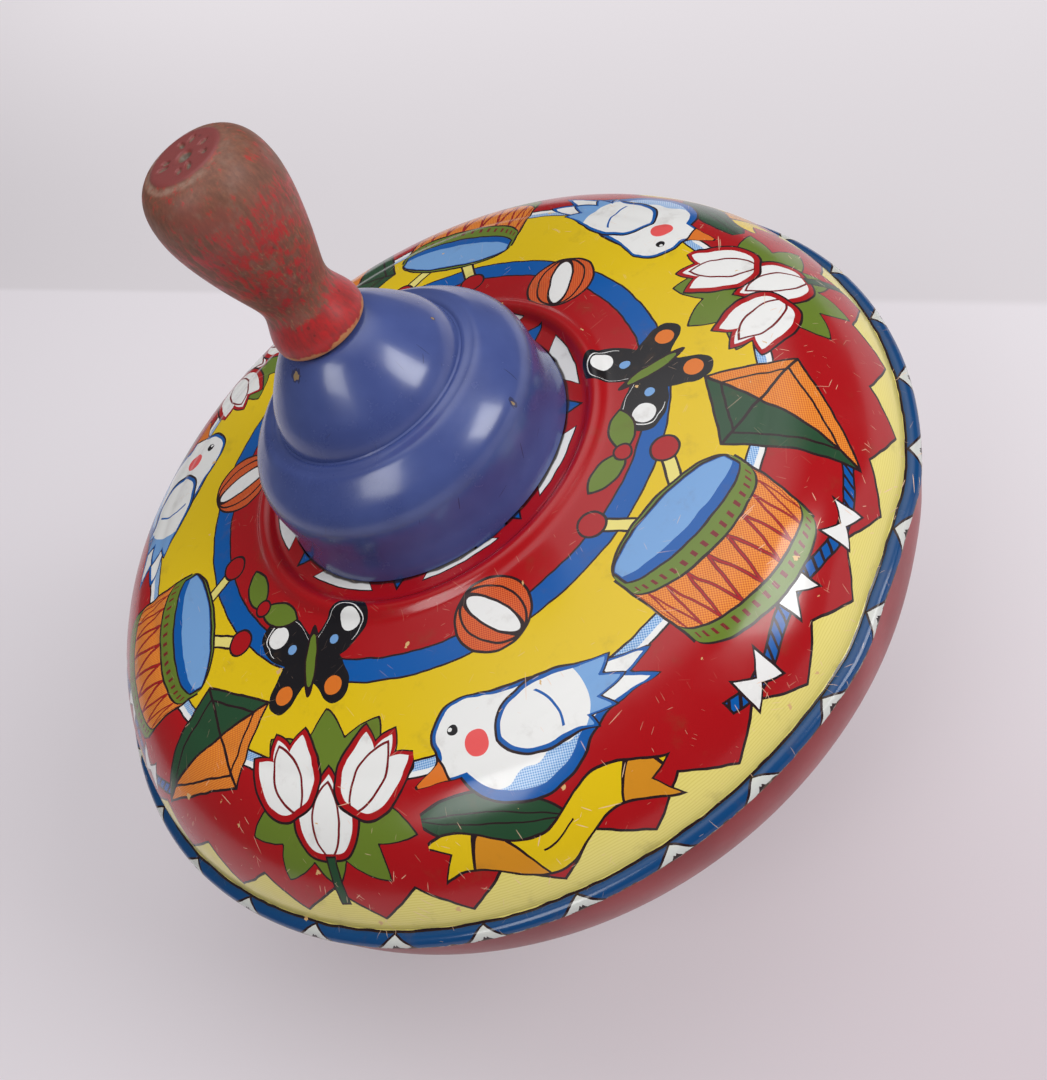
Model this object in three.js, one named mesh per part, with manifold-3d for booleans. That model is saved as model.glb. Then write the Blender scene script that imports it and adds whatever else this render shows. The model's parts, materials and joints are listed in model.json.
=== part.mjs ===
// A push-down spinning top of pressed tinplate, with a turned wooden handle.
// Millimetres, +Z up along the spin axis, origin at the tip of the foot.
//
// The handle drives a twisted strip through a slotted nut. On the way down the nut's teeth drop
// into those of the clutch cup and turn the body. On the way up they lift clear and the nut runs
// free, so the body keeps spinning. The body turns on a pin whose foot stays still on the floor.
import * as THREE from "three";
import { mergeVertices } from "three/addons/utils/BufferGeometryUtils.js";
import Module from "manifold-3d";

const wasm = await Module();
wasm.setup();

// Stock and clearances
const sheet = 0.4; // tinplate of the shells and the bell
const fitGap = 0.3; // between pieces that seat on each other or run in each other
const slotClearance = 0.35; // each side of the drive strip in the nut's slot
const stripClearance = 0.6; // round the turning strip in the round bores that it passes
const stopClearance = 0.5; // round the stop in the guide tube
const socketClearance = 0.8; // round the foot in the socket and in the shell's mouth

// Body shells
const rimRadius = 100;
const rimHeight = 78; // the rim's edge above the foot's tip
const rimBeadWidth = 3; // rim to the crease at the foot of the shoulder
const rimBeadRound = 2.1; // rim to the top of the bead
const rimBeadHeight = 1.75;
const rimCreaseHeight = 1.45;
const rimEdgeDrop = 0.75; // the raw edge hangs this far below the widest circle
const shoulderWidth = 20.7; // crease to the outer edge of the deck
const shoulderHeight = 23.4; // rim to the outer edge of the deck
const shoulderFullness = 1.55; // exponent of its superellipse: 1 is a straight slope
const deckBevelWidth = 3;
const deckBevelHeight = 1;
const deckHeight = 28; // rim to the foot of the ring bead
const ringBeadGap = 4.4; // the bell to the inner foot of the ring bead
const ringBeadWidth = 5;
const ringBeadHeight = 1.7;
const deckRecess = 0.2; // the floor round the bell, below the foot of the ring bead
const seamInset = 1.5; // the lower shell's wall inside the rim
const standHeight = 25; // the foot's tip to the underside of the lower shell
const bowlFullness = 2.15;

// Bell
const bellRadius = 33.9;
const bellFlareWidth = 1.1; // the foot of its wall flares out to the full radius
const bellFlareHeight = 6;
const bellWallHeight = 15;
const bellShoulderWidth = 10.3;
const bellShoulderHeight = 24;
const bellShoulderFullness = 1.42;
const bellHeight = 40;
const capSeatWidth = 1.2; // the crease round the foot of the cap
const capSeatDepth = 0.8;
const capFullness = 1.22;
const lugCount = 4;
const lugWidth = 7;
const lugReach = 4;

// Handle
const handleLength = 43;
const handleRadius = 12.8;
const handleCollarRadius = 9.8;
const handleCollarHeight = 2.4;
const handleWaistRadius = 7.6;
const handleWaistHeight = 9;
const handleFlankSwell = 0.4; // the flank stands out from a straight cone
const handleCrownLength = 11; // from the widest circle to the end
const handleCrownRound = 4;
const handleEndRadius = 6.5;
const handleRest = 0.6; // the handle's collar clear of the bell when it is pushed home
const handleSocketDepth = 24;

// Drive strip and its stop
const stripWidth = 4.8;
const stripThickness = 1.6;
const stripLead = 30; // height of one full turn of the twist
const stripStep = 24; // degrees of twist between two sections
const stripHeadLip = 0.7; // the upset head stands out round the strip
const stripHeadThickness = 1.2;
const stopLip = 1.4; // the stop overlaps the bore that it stops at
const stopThickness = 2;
const bottomClearance = 2; // strip to pivot pin with the handle pushed home

// Guide tube and the washer that stiffens the deck
const tubeWall = 0.5;
const tubeFlangeWidth = 2.5;
const tubeCollarThickness = 1;
const tubeLipWidth = 2.1;
const deckWasherRadius = 15;
const deckWasherThickness = 0.8;

// Clutch
const nutThickness = 2;
const toothCount = 8;
const toothHeight = 1.5;
const toothWidth = 3.2;
const toothLength = 3.3;
const toothInset = 1.3; // bore to the inner ends of the teeth
const freewheelGap = 0.4; // between the two crowns of teeth while the nut runs free
const cupWall = 0.8;
const cupWeb = 1.5;
const cupWebHeight = 18; // the deck's floor to the underside of the web
const cupFlangeWidth = 4.6;
const cupFlangeThickness = 0.6;
const retainerThickness = 0.6;
const retainerSkirt = 4;

// Bush in the top of the bell
const bushWall = 0.9;
const bushFlangeWidth = 2;
const bushFlangeThickness = 0.4;

// Foot and its bearing
const footRadius = 7;
const footTipRadius = 6; // the flat that the top stands on when it isn't spinning
const footInset = 5; // the foot's top inside the lower shell
const footRound = 10; // height of the foot's rounded end
const pinRadius = 1.5;
const pinDepth = 12; // how far the pin is driven into the foot
const pinHeadLip = 1.7;
const pinHeadThickness = 1.5;
const bearingInset = 0.4; // the washer's edge inside the foot's
const bearingThickness = 0.8;
const socketWall = 0.6;
const socketBrimWidth = 7.3;
const rivetCount = 3;
const rivetRadius = 1;
const rivetHeadLip = 1.1;
const rivetHeadThickness = 0.8;

// Facets round the axis
const shellFacets = 48;
const bellFacets = 40;
const handleFacets = 28;
const turnedFacets = 18;
const rivetFacets = 10;

// Radii worked out from the sizes above
const stripReach = Math.hypot(stripWidth, stripThickness) / 2;
const stripBore = stripReach + stripClearance;
const stopRadius = stripBore + stopLip;
const tubeBore = stopRadius + stopClearance;
const tubeRadius = tubeBore + tubeWall;
const tubeHole = tubeRadius + fitGap;
const toothInnerRadius = stripBore + toothInset;
const nutRadius = toothInnerRadius + toothLength + fitGap;
const cupBore = nutRadius + 2 * fitGap;
const cupRadius = cupBore + cupWall;
const bushRadius = stripBore + bushWall;
const bushFlangeRadius = bushRadius + bushFlangeWidth;
const bellWallRadius = bellRadius - bellFlareWidth;
const capSeatRadius = bellWallRadius - bellShoulderWidth;
const capRadius = capSeatRadius - capSeatWidth;
const capTopRadius = handleCollarRadius - fitGap;
const ringBeadInner = bellRadius + ringBeadGap;
const mouthRadius = footRadius + socketClearance;
const socketRadius = mouthRadius + socketWall;
const brimRadius = socketRadius + socketBrimWidth;
const keelRadius = brimRadius + fitGap;
const pinBore = pinRadius + fitGap;
const rivetCircleRadius = (socketRadius + brimRadius) / 2;

// Levels worked out from the sizes above
const floorTop = rimHeight + deckHeight - deckRecess;
const floorUnderside = floorTop - sheet;
const bellBase = floorTop + fitGap;
const bellTop = bellBase + bellHeight;
const cupBase = floorTop + fitGap;
const webUnderside = floorTop + cupWebHeight;
const webTop = webUnderside + cupWeb;
const nutUnderside = webTop + 2 * toothHeight + freewheelGap;
const nutTop = nutUnderside + nutThickness;
const cupTop = nutTop + fitGap;
const bushTop = bellTop + fitGap + bushFlangeThickness;
const handleBase = bellTop + handleRest;
const handleTop = handleBase + handleLength;
const boreTop = handleBase + handleSocketDepth;
const keelTop = standHeight + sheet;
const brimUnderside = keelTop + fitGap;
const brimTop = brimUnderside + socketWall;
const footTop = standHeight + footInset;
const bearingUnderside = footTop + fitGap;
const bearingTop = bearingUnderside + bearingThickness;
const socketUnderside = bearingTop + fitGap;
const socketTop = socketUnderside + socketWall;
const pinHeadUnderside = socketTop + fitGap;
const pinTop = pinHeadUnderside + pinHeadThickness;
const stripBottom = pinTop + bottomClearance;
const stripHeadTop = stripBottom + stripHeadThickness;
const stopUnderside = stripHeadTop + fitGap;
const stopTop = stopUnderside + stopThickness;

// Shape helpers

const ellipse = 2; // the fullness of a true ellipse

const at = (radius, height) => new THREE.Vector2(radius, height);

// A body of revolution about Z. The outline starts and ends on the axis or closes on itself.
function turned(outline, facets) {
  const counterclockwise = THREE.ShapeUtils.area(outline) > 0;
  const points = counterclockwise ? outline : [...outline].reverse();
  return new THREE.LatheGeometry(points, facets).rotateX(Math.PI / 2);
}

// A ring or plate whose outline is a loop of corners.
const turnedLoop = (corners, facets) => turned([...corners, corners[0]], facets);

// Points of a quarter superellipse about a centre, from its side, `reach` away, to its top or
// bottom, `rise` away.
function quarter(centre, reach, rise, fullness, steps) {
  return Array.from({ length: steps + 1 }, (_, i) => {
    const angle = (Math.PI / 2) * (i / steps);
    const across = reach * Math.cos(angle) ** (2 / fullness);
    const up = rise * Math.sin(angle) ** (2 / fullness);
    return at(centre.x + (i < steps ? across : 0), centre.y + up);
  });
}

// A round blank between two heights: a disc, or a ring round a bore.
function blank(radius, bottom, top, bore = 0, facets = turnedFacets) {
  if (bore > 0) {
    const section = [at(bore, bottom), at(radius, bottom), at(radius, top), at(bore, top)];
    return turnedLoop(section, facets);
  }
  return turned([at(0, bottom), at(radius, bottom), at(radius, top), at(0, top)], facets);
}

// The points of a line, moved to its left by a distance that is small beside its bends.
function movedLeft(points, distance) {
  const normal = (a, b) => at(a.y - b.y, b.x - a.x).normalize();
  return points.map((point, i) => {
    const before = i > 0 ? normal(points[i - 1], point) : normal(point, points[i + 1]);
    const after = i < points.length - 1 ? normal(point, points[i + 1]) : before;
    const middle = before.clone().add(after).normalize();
    return point.clone().addScaledVector(middle, distance / middle.dot(before));
  });
}

// Sheet metal spun to the shape of its outer face, with the metal on the left of that line.
function spunSheet(face, thickness, facets) {
  return turnedLoop([...face, ...movedLeft(face, thickness).reverse()], facets);
}

// A block centred on the X and Y axes' origin, between two heights.
function block(sizeX, sizeY, bottom, top) {
  return new THREE.BoxGeometry(sizeX, sizeY, top - bottom).translate(0, 0, (bottom + top) / 2);
}

// The drive strip between two heights, grown on every side by a clearance. Each section is turned
// by its height, left-handed, so a slot cut with a grown strip fits the strip at any height. The
// points in the middle of its wide faces keep the twisted facets close to the true surface.
function twistedStrip(bottom, top, clearance = 0) {
  const x = stripWidth / 2 + clearance;
  const y = stripThickness / 2 + clearance;
  const section = new THREE.Shape([at(-x, -y), at(0, -y), at(x, -y), at(x, y), at(0, y), at(-x, y)]);
  const turns = (top - bottom) / stripLead;
  const steps = Math.ceil((turns * 360) / stripStep);
  const strip = new THREE.ExtrudeGeometry(section, { depth: top - bottom, steps, bevelEnabled: false });
  strip.translate(0, 0, bottom);
  const position = strip.getAttribute("position");
  const vertex = new THREE.Vector3();
  const axis = new THREE.Vector3(0, 0, 1);
  for (let i = 0; i < position.count; i++) {
    vertex.fromBufferAttribute(position, i);
    vertex.applyAxisAngle(axis, (-2 * Math.PI * vertex.z) / stripLead);
    position.setXYZ(i, vertex.x, vertex.y, vertex.z);
  }
  return strip;
}

// A crown of ratchet teeth on a flat ring at one height. Each tooth climbs from a heel to a
// steep face: counterclockwise on a crown that points up, clockwise on one that points down.
function crownTeeth(height, pointsUp, bury) {
  const rise = pointsUp ? toothHeight : -toothHeight;
  const root = pointsUp ? -bury : bury;
  const face = pointsUp ? toothWidth / 2 : -toothWidth / 2;
  const profile = new THREE.Shape([at(-face, root), at(face, root), at(face, rise), at(-face, 0)]);
  return Array.from({ length: toothCount }, (_, i) =>
    new THREE.ExtrudeGeometry(profile, { depth: toothLength, bevelEnabled: false })
      .rotateX(Math.PI / 2)
      .translate(0, -toothInnerRadius, height)
      .rotateZ((2 * Math.PI * i) / toothCount),
  );
}

// A closed geometry as a solid that can be joined and cut, and back.
function solid(geometry) {
  const plain = geometry.clone().deleteAttribute("normal").deleteAttribute("uv");
  const merged = mergeVertices(plain, 1e-4);
  const vertProperties = merged.getAttribute("position").array;
  return new wasm.Manifold(new wasm.Mesh({ numProp: 3, vertProperties, triVerts: merged.index.array }));
}

function geometryOf(body) {
  const { vertProperties, triVerts } = body.getMesh();
  return new THREE.BufferGeometry()
    .setAttribute("position", new THREE.BufferAttribute(vertProperties, 3))
    .setIndex(new THREE.BufferAttribute(triVerts, 1));
}

const joined = (first, ...more) =>
  geometryOf(more.reduce((body, piece) => body.add(solid(piece)), solid(first)));

const cut = (first, ...tools) =>
  geometryOf(tools.reduce((body, tool) => body.subtract(solid(tool)), solid(first)));

const common = (first, second) => geometryOf(solid(first).intersect(solid(second)));

// Shells

// The upper shell's outer face: raw edge, rolled rim bead, shoulder, deck, ring bead, floor.
function upperFace() {
  const crease = at(rimRadius - rimBeadWidth, rimHeight + rimCreaseHeight);
  const rawEdge = at(rimRadius - sheet, rimHeight - rimEdgeDrop);
  const beadCentre = at(rimRadius - rimBeadRound, rimHeight);
  const rimBead = quarter(beadCentre, rimBeadRound, rimBeadHeight, ellipse, 4);
  const deckEdge = at(crease.x - shoulderWidth, rimHeight + shoulderHeight);
  const rise = deckEdge.y - crease.y;
  const shoulder = quarter(at(deckEdge.x, crease.y), shoulderWidth, rise, shoulderFullness, 6);
  const deckBevel = at(deckEdge.x - deckBevelWidth, deckEdge.y + deckBevelHeight);
  const ringCentre = at(ringBeadInner + ringBeadWidth / 2, rimHeight + deckHeight);
  const ringOut = quarter(ringCentre, ringBeadWidth / 2, ringBeadHeight, ellipse, 3);
  const ringIn = quarter(ringCentre, -ringBeadWidth / 2, ringBeadHeight, ellipse, 3).reverse();
  const floorEdge = at(ringBeadInner - deckRecess, floorTop);
  const hole = at(tubeHole, floorTop);
  return [rawEdge, ...rimBead, ...shoulder, deckBevel, ...ringOut, ...ringIn.slice(1), floorEdge, hole];
}

// The stretches of a ring that lie under crossed bars: the bell's lugs, or the slots for them.
function aroundBell(section, width) {
  const bottom = Math.min(...section.map((corner) => corner.y)) - sheet;
  const top = Math.max(...section.map((corner) => corner.y)) + sheet;
  const length = 2 * bellRadius + 4 * fitGap;
  const bars = Array.from({ length: lugCount / 2 }, (_, i) =>
    block(length, width, bottom, top).rotateZ((2 * Math.PI * i) / lugCount),
  );
  return common(turnedLoop(section, bellFacets), joined(...bars));
}

function upperShell() {
  const slot = [
    at(bellRadius - sheet - fitGap, floorUnderside - sheet),
    at(bellRadius + fitGap, floorUnderside - sheet),
    at(bellRadius + fitGap, floorTop + sheet),
    at(bellRadius - sheet - fitGap, floorTop + sheet),
  ];
  return cut(spunSheet(upperFace(), sheet, shellFacets), aroundBell(slot, lugWidth + 2 * fitGap));
}

// The lower shell's outer face, from the mouth for the foot out and up into the rim bead.
function lowerFace() {
  const wall = rimRadius - seamInset;
  const seam = rimHeight - rimEdgeDrop;
  const top = rimHeight + rimBeadHeight - sheet - 2 * fitGap;
  const bowl = quarter(at(keelRadius, seam), wall - keelRadius, standHeight - seam, bowlFullness, 9);
  return [at(mouthRadius, standHeight), ...bowl.reverse(), at(wall, top)];
}

function lowerShell() {
  const shell = spunSheet(lowerFace(), sheet, shellFacets);
  return cut(shell, ...rivetHoles(standHeight - sheet, keelTop + sheet));
}

// The bell's outer face: flared wall, shoulder, and the cap that rises from a crease.
function bellFace() {
  const wallTop = bellBase + bellWallHeight;
  const shoulderTop = bellBase + bellShoulderHeight;
  const shoulderCentre = at(capSeatRadius, wallTop);
  const shoulderRise = shoulderTop - wallTop;
  const shoulder = quarter(shoulderCentre, bellShoulderWidth, shoulderRise, bellShoulderFullness, 4);
  const capBase = shoulderTop - capSeatDepth;
  const cap = quarter(at(capTopRadius, capBase), capRadius - capTopRadius, bellTop - capBase, capFullness, 5);
  return [
    at(bellRadius, bellBase),
    at(bellWallRadius, bellBase + bellFlareHeight),
    ...shoulder,
    ...cap,
    at(bushRadius + fitGap, bellTop),
  ];
}

function bell() {
  const under = floorUnderside - fitGap;
  const lug = [
    at(bellRadius - lugReach, under - sheet),
    at(bellRadius, under - sheet),
    at(bellRadius, bellBase + sheet),
    at(bellRadius - sheet, bellBase + sheet),
    at(bellRadius - sheet, under),
    at(bellRadius - lugReach, under),
  ];
  return joined(spunSheet(bellFace(), sheet, bellFacets), aroundBell(lug, lugWidth));
}

function bellBush() {
  const lowerFlange = bellTop - sheet - fitGap;
  const upperFlange = bellTop + fitGap;
  return turnedLoop(
    [
      at(stripBore, lowerFlange - bushFlangeThickness),
      at(bushFlangeRadius, lowerFlange - bushFlangeThickness),
      at(bushFlangeRadius, lowerFlange),
      at(bushRadius, lowerFlange),
      at(bushRadius, upperFlange),
      at(bushFlangeRadius, upperFlange),
      at(bushFlangeRadius, bushTop),
      at(stripBore, bushTop),
    ],
    turnedFacets,
  );
}

// Plunger

// A turned grip with a waist, a collar and a flat end, drilled and counterbored from below.
function handle() {
  const counterboreTop = bushTop + fitGap;
  const counterbore = bushFlangeRadius + 2 * fitGap;
  const boreRadius = stripReach + fitGap;
  const waist = at(handleWaistRadius, handleBase + handleWaistHeight);
  const widest = at(handleRadius, handleTop - handleCrownLength);
  const flank = waist.clone().lerp(widest, 0.5).add(at(handleFlankSwell, 0));
  const grip = new THREE.SplineCurve([
    at(handleCollarRadius, handleBase + handleCollarHeight / 2),
    at(handleCollarRadius, handleBase + handleCollarHeight),
    waist,
    flank,
    widest,
    at(handleRadius - 0.35 * handleCrownRound, handleTop - handleCrownRound),
    at(handleEndRadius, handleTop),
  ]);
  return turned(
    [
      at(0, boreTop),
      at(boreRadius, boreTop),
      at(boreRadius, counterboreTop),
      at(counterbore, counterboreTop),
      at(counterbore, handleBase),
      at(handleCollarRadius - handleCollarHeight / 4, handleBase),
      ...grip.getPoints(17),
      at(0, handleTop),
    ],
    handleFacets,
  );
}

function driveRod() {
  const strip = twistedStrip(stripBottom, boreTop - fitGap);
  const head = blank(stripReach + stripHeadLip, stripBottom, stripHeadTop);
  return joined(strip, head);
}

function rodStop() {
  const slot = twistedStrip(stopUnderside - 1, stopTop + 1, fitGap);
  return cut(blank(stopRadius, stopUnderside, stopTop), slot);
}

// Clutch

// A drawn cup on the deck: flange, tower wall, and a web that carries the upward crown of teeth.
function clutchCup() {
  const flangeTop = cupBase + cupFlangeThickness;
  const flangeRadius = cupRadius + cupFlangeWidth;
  const body = turnedLoop(
    [
      at(tubeHole, cupBase),
      at(flangeRadius, cupBase),
      at(flangeRadius, flangeTop),
      at(cupRadius, flangeTop),
      at(cupRadius, cupTop),
      at(cupBore, cupTop),
      at(cupBore, webTop),
      at(stripBore, webTop),
      at(stripBore, webUnderside),
      at(cupBore, webUnderside),
      at(cupBore, flangeTop),
      at(tubeHole, flangeTop),
    ],
    turnedFacets,
  );
  return joined(body, ...crownTeeth(webTop, true, cupWeb / 2));
}

function driveNut() {
  const disc = blank(nutRadius, nutUnderside, nutTop);
  const toothed = joined(disc, ...crownTeeth(nutUnderside, false, nutThickness / 2));
  const slot = twistedStrip(nutUnderside - 1, nutTop + 1, slotClearance);
  return cut(toothed, slot);
}

// A pressed cap over the cup's mouth, which keeps the nut in.
function nutRetainer() {
  const under = cupTop + fitGap;
  const skirtInside = cupRadius + fitGap;
  const outside = skirtInside + retainerThickness;
  return turnedLoop(
    [
      at(stripBore, under),
      at(skirtInside, under),
      at(skirtInside, under - retainerSkirt),
      at(outside, under - retainerSkirt),
      at(outside, under + retainerThickness),
      at(stripBore, under + retainerThickness),
    ],
    turnedFacets,
  );
}

// Core

// The tube stands on the foot socket. A collar under the deck washer and a lip rolled over the
// cup's flange clamp the washer, the deck and the clutch cup together.
function guideTube() {
  const bottom = socketTop + fitGap;
  const flangeRadius = tubeRadius + tubeFlangeWidth;
  const collarTop = floorUnderside - deckWasherThickness - 2 * fitGap;
  const collarBottom = collarTop - tubeCollarThickness;
  const lipRadius = tubeRadius + tubeLipWidth;
  const lipUnderside = cupBase + cupFlangeThickness + fitGap;
  return turnedLoop(
    [
      at(tubeBore, bottom),
      at(flangeRadius, bottom),
      at(flangeRadius, bottom + tubeWall),
      at(tubeRadius, bottom + tubeWall),
      at(tubeRadius, collarBottom),
      at(flangeRadius, collarBottom),
      at(flangeRadius, collarTop),
      at(tubeRadius, collarTop),
      at(tubeRadius, lipUnderside),
      at(lipRadius, lipUnderside),
      at(lipRadius, lipUnderside + tubeWall),
      at(tubeBore, lipUnderside + tubeWall),
    ],
    turnedFacets,
  );
}

function deckWasher() {
  const top = floorUnderside - fitGap;
  return blank(deckWasherRadius, top - deckWasherThickness, top, tubeHole);
}

// Foot

// A drawn hat riveted inside the lower shell. Its crown takes the thrust of the foot.
function footSocket() {
  const hat = turnedLoop(
    [
      at(mouthRadius, brimUnderside),
      at(brimRadius, brimUnderside),
      at(brimRadius, brimTop),
      at(socketRadius, brimTop),
      at(socketRadius, socketTop),
      at(pinBore, socketTop),
      at(pinBore, socketUnderside),
      at(mouthRadius, socketUnderside),
    ],
    turnedFacets,
  );
  return cut(hat, ...rivetHoles(keelTop, brimTop + sheet));
}

const bearingWasher = () => blank(footRadius - bearingInset, bearingUnderside, bearingTop, pinBore);

// A headed pin, driven into the foot, that the body turns on.
function pivotPin() {
  const pinHeadRadius = pinRadius + pinHeadLip;
  const outline = [
    at(0, footTop - pinDepth),
    at(pinRadius, footTop - pinDepth),
    at(pinRadius, pinHeadUnderside),
    at(pinHeadRadius, pinHeadUnderside),
    at(pinHeadRadius, pinHeadUnderside + pinHeadThickness / 2),
    at(pinHeadRadius / 2, pinTop),
    at(0, pinTop),
  ];
  return turned(outline, turnedFacets);
}

function foot() {
  const boreBottom = footTop - pinDepth - fitGap;
  const end = quarter(at(footTipRadius, footRound), footRadius - footTipRadius, -footRound, ellipse, 4);
  return turned(
    [
      at(0, 0),
      ...end.reverse(),
      at(footRadius, footTop),
      at(pinBore, footTop),
      at(pinBore, boreBottom),
      at(0, boreBottom),
    ],
    turnedFacets,
  );
}

// Rivets through the brim of the foot socket

function aroundKeel(geometry, index) {
  const angle = (2 * Math.PI * index) / rivetCount;
  return geometry.translate(rivetCircleRadius, 0, 0).rotateZ(angle);
}

const rivetHoles = (bottom, top) =>
  Array.from({ length: rivetCount }, (_, i) =>
    aroundKeel(blank(rivetRadius + fitGap, bottom, top, 0, rivetFacets), i),
  );

function socketRivet(index) {
  const head = standHeight - fitGap;
  const tail = brimTop + fitGap;
  const rivetHeadRadius = rivetRadius + rivetHeadLip;
  const outline = [
    at(0, head - rivetHeadThickness),
    at(rivetHeadRadius / 2, head - rivetHeadThickness),
    at(rivetHeadRadius, head),
    at(rivetRadius, head),
    at(rivetRadius, tail),
    at(rivetHeadRadius, tail),
    at(rivetHeadRadius / 2, tail + rivetHeadThickness),
    at(0, tail + rivetHeadThickness),
  ];
  return aroundKeel(turned(outline, rivetFacets), index);
}

// Materials and the assembly

const lacqueredRed = { color: 0xb2191f, roughness: 0.3, metalness: 0.1 };
const lacqueredBlue = { color: 0x3d4488, roughness: 0.3, metalness: 0.1 };
const wornWood = { color: 0x9c4a2c, roughness: 0.6, metalness: 0 };
const paleWood = { color: 0xb98d5c, roughness: 0.7, metalness: 0 };
const steel = { color: 0x8d8f92, roughness: 0.35, metalness: 1 };
const brass = { color: 0xb59a4e, roughness: 0.35, metalness: 1 };
const fibre = { color: 0x5a3a28, roughness: 0.8, metalness: 0 };

function piece(name, geometry, finish) {
  const mesh = new THREE.Mesh(geometry, new THREE.MeshStandardMaterial(finish));
  mesh.name = name;
  return mesh;
}

const plunger = new THREE.Group().add(
  piece("handle", handle(), wornWood),
  piece("drive_rod", driveRod(), steel),
  piece("rod_stop", rodStop(), steel),
);

const clutch = new THREE.Group().add(
  piece("clutch_cup", clutchCup(), steel),
  piece("drive_nut", driveNut(), brass),
  piece("nut_retainer", nutRetainer(), steel),
);

const body = new THREE.Group().add(
  piece("upper_shell", upperShell(), lacqueredRed),
  piece("lower_shell", lowerShell(), lacqueredRed),
  piece("bell", bell(), lacqueredBlue),
  piece("bell_bush", bellBush(), brass),
  piece("guide_tube", guideTube(), steel),
  piece("deck_washer", deckWasher(), steel),
  piece("foot_socket", footSocket(), steel),
);
for (let i = 0; i < rivetCount; i++) body.add(piece(`socket_rivet_${i + 1}`, socketRivet(i), steel));

const stand = new THREE.Group().add(
  piece("foot", foot(), paleWood),
  piece("pivot_pin", pivotPin(), steel),
  piece("bearing_washer", bearingWasher(), fibre),
);

const group = new THREE.Group().add(plunger, clutch, body, stand);

export default group;
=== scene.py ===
"""A push-down spinning top: the finished looks of its pieces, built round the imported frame."""

import json
import math

import bmesh
import bpy
from mathutils import Matrix, Vector, noise


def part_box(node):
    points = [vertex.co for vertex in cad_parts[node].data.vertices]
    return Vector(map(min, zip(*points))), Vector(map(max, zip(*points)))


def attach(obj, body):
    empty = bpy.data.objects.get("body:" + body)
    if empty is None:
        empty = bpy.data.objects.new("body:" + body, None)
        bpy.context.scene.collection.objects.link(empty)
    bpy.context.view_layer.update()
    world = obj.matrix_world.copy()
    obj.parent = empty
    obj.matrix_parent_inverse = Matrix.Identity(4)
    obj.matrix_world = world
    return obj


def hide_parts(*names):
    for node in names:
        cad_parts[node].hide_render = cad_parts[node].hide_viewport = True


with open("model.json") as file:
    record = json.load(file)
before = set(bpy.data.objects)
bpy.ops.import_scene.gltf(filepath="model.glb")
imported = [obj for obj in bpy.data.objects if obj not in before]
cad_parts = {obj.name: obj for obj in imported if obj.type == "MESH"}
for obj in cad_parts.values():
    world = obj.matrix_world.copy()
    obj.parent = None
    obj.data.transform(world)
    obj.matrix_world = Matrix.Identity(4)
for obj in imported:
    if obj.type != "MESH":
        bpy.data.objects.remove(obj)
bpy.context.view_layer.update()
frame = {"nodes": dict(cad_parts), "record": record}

# Sizes are in millimetres and angles in degrees, where a comment doesn't say otherwise.
# MM turns a size into the frame's metres.
MM = 0.001
FULL_TURN = 2 * math.pi  # radians

SHEET = 0.4  # the gauge of the tinplate
RIM_RADIUS = 100
RIM_EDGE_DROP = 0.75  # the raw edge hangs this far below the rim's widest circle
HANDLE_LENGTH = 42.95

# Levels of the frame's own pieces, in metres
RIM_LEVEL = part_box("upper_shell")[0].z + RIM_EDGE_DROP * MM
HANDLE_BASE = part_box("handle")[0].z
KEEL_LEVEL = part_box("lower_shell")[0].z


# ---------------------------------------------------------------------------
# Camera

EYE = (4.54, -215.58, 206.43)  # from the middle of the rim
LENS_TILT = 44.46
LENS_ROLL = -38.51
FOCAL_LENGTH = 42.67
SENSOR_WIDTH = 36


def set_camera():
    optics = bpy.data.cameras.new("camera")
    optics.lens = FOCAL_LENGTH
    optics.sensor_width = SENSOR_WIDTH
    camera = bpy.data.objects.new("camera", optics)
    bpy.context.scene.collection.objects.link(camera)
    tilt = Matrix.Rotation(math.radians(LENS_TILT), 4, "X")
    roll = Matrix.Rotation(math.radians(LENS_ROLL), 4, "Z")
    stand = Matrix.Translation(Vector(EYE) * MM + Vector((0, 0, RIM_LEVEL)))
    camera.matrix_world = stand @ tilt @ roll
    bpy.context.scene.camera = camera


set_camera()


# ---------------------------------------------------------------------------
# Colours


def ink(red, green, blue):
    """A colour read off a colour card, from 0 to 255, as the shader wants it."""

    def linear(level):
        level /= 255
        return level / 12.92 if level <= 0.04045 else ((level + 0.055) / 1.055) ** 2.4

    return (linear(red), linear(green), linear(blue), 1)


RED = ink(162, 11, 19)
YELLOW = ink(216, 184, 16)
CREAM = ink(222, 209, 118)
BLUE = ink(0, 84, 160)
RIM_BLUE = ink(10, 64, 114)
LIGHT_BLUE = ink(112, 156, 206)
WHITE = ink(226, 226, 224)
OLIVE = ink(98, 120, 38)
DARK_GREEN = ink(34, 70, 44)
ORANGE = ink(212, 112, 36)
DARK_RED = ink(112, 22, 28)
CHEEK = ink(224, 84, 84)
OUTLINE = ink(38, 20, 24)
BLACK = ink(22, 20, 24)
BARE_TIN = ink(176, 168, 156)


# ---------------------------------------------------------------------------
# A small language for drawing with shader nodes


def sign(operation, swapped=False):
    """One of Python's own signs, between a field and another field or a number."""

    def apply(self, other):
        pair = (other, self) if swapped else (self, other)
        return self.sheet.sum_of(operation, *pair)

    return apply


class Field:
    """A number that changes over a surface: one socket of a sheet's nodes."""

    def __init__(self, sheet, socket):
        self.sheet = sheet
        self.socket = socket

    __add__ = sign("ADD")
    __sub__ = sign("SUBTRACT")
    __rsub__ = sign("SUBTRACT", swapped=True)
    __mul__ = sign("MULTIPLY")

    def __neg__(self):
        return self * -1

    def __abs__(self):
        return self.sheet.sum_of("ABSOLUTE", self)


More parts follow.
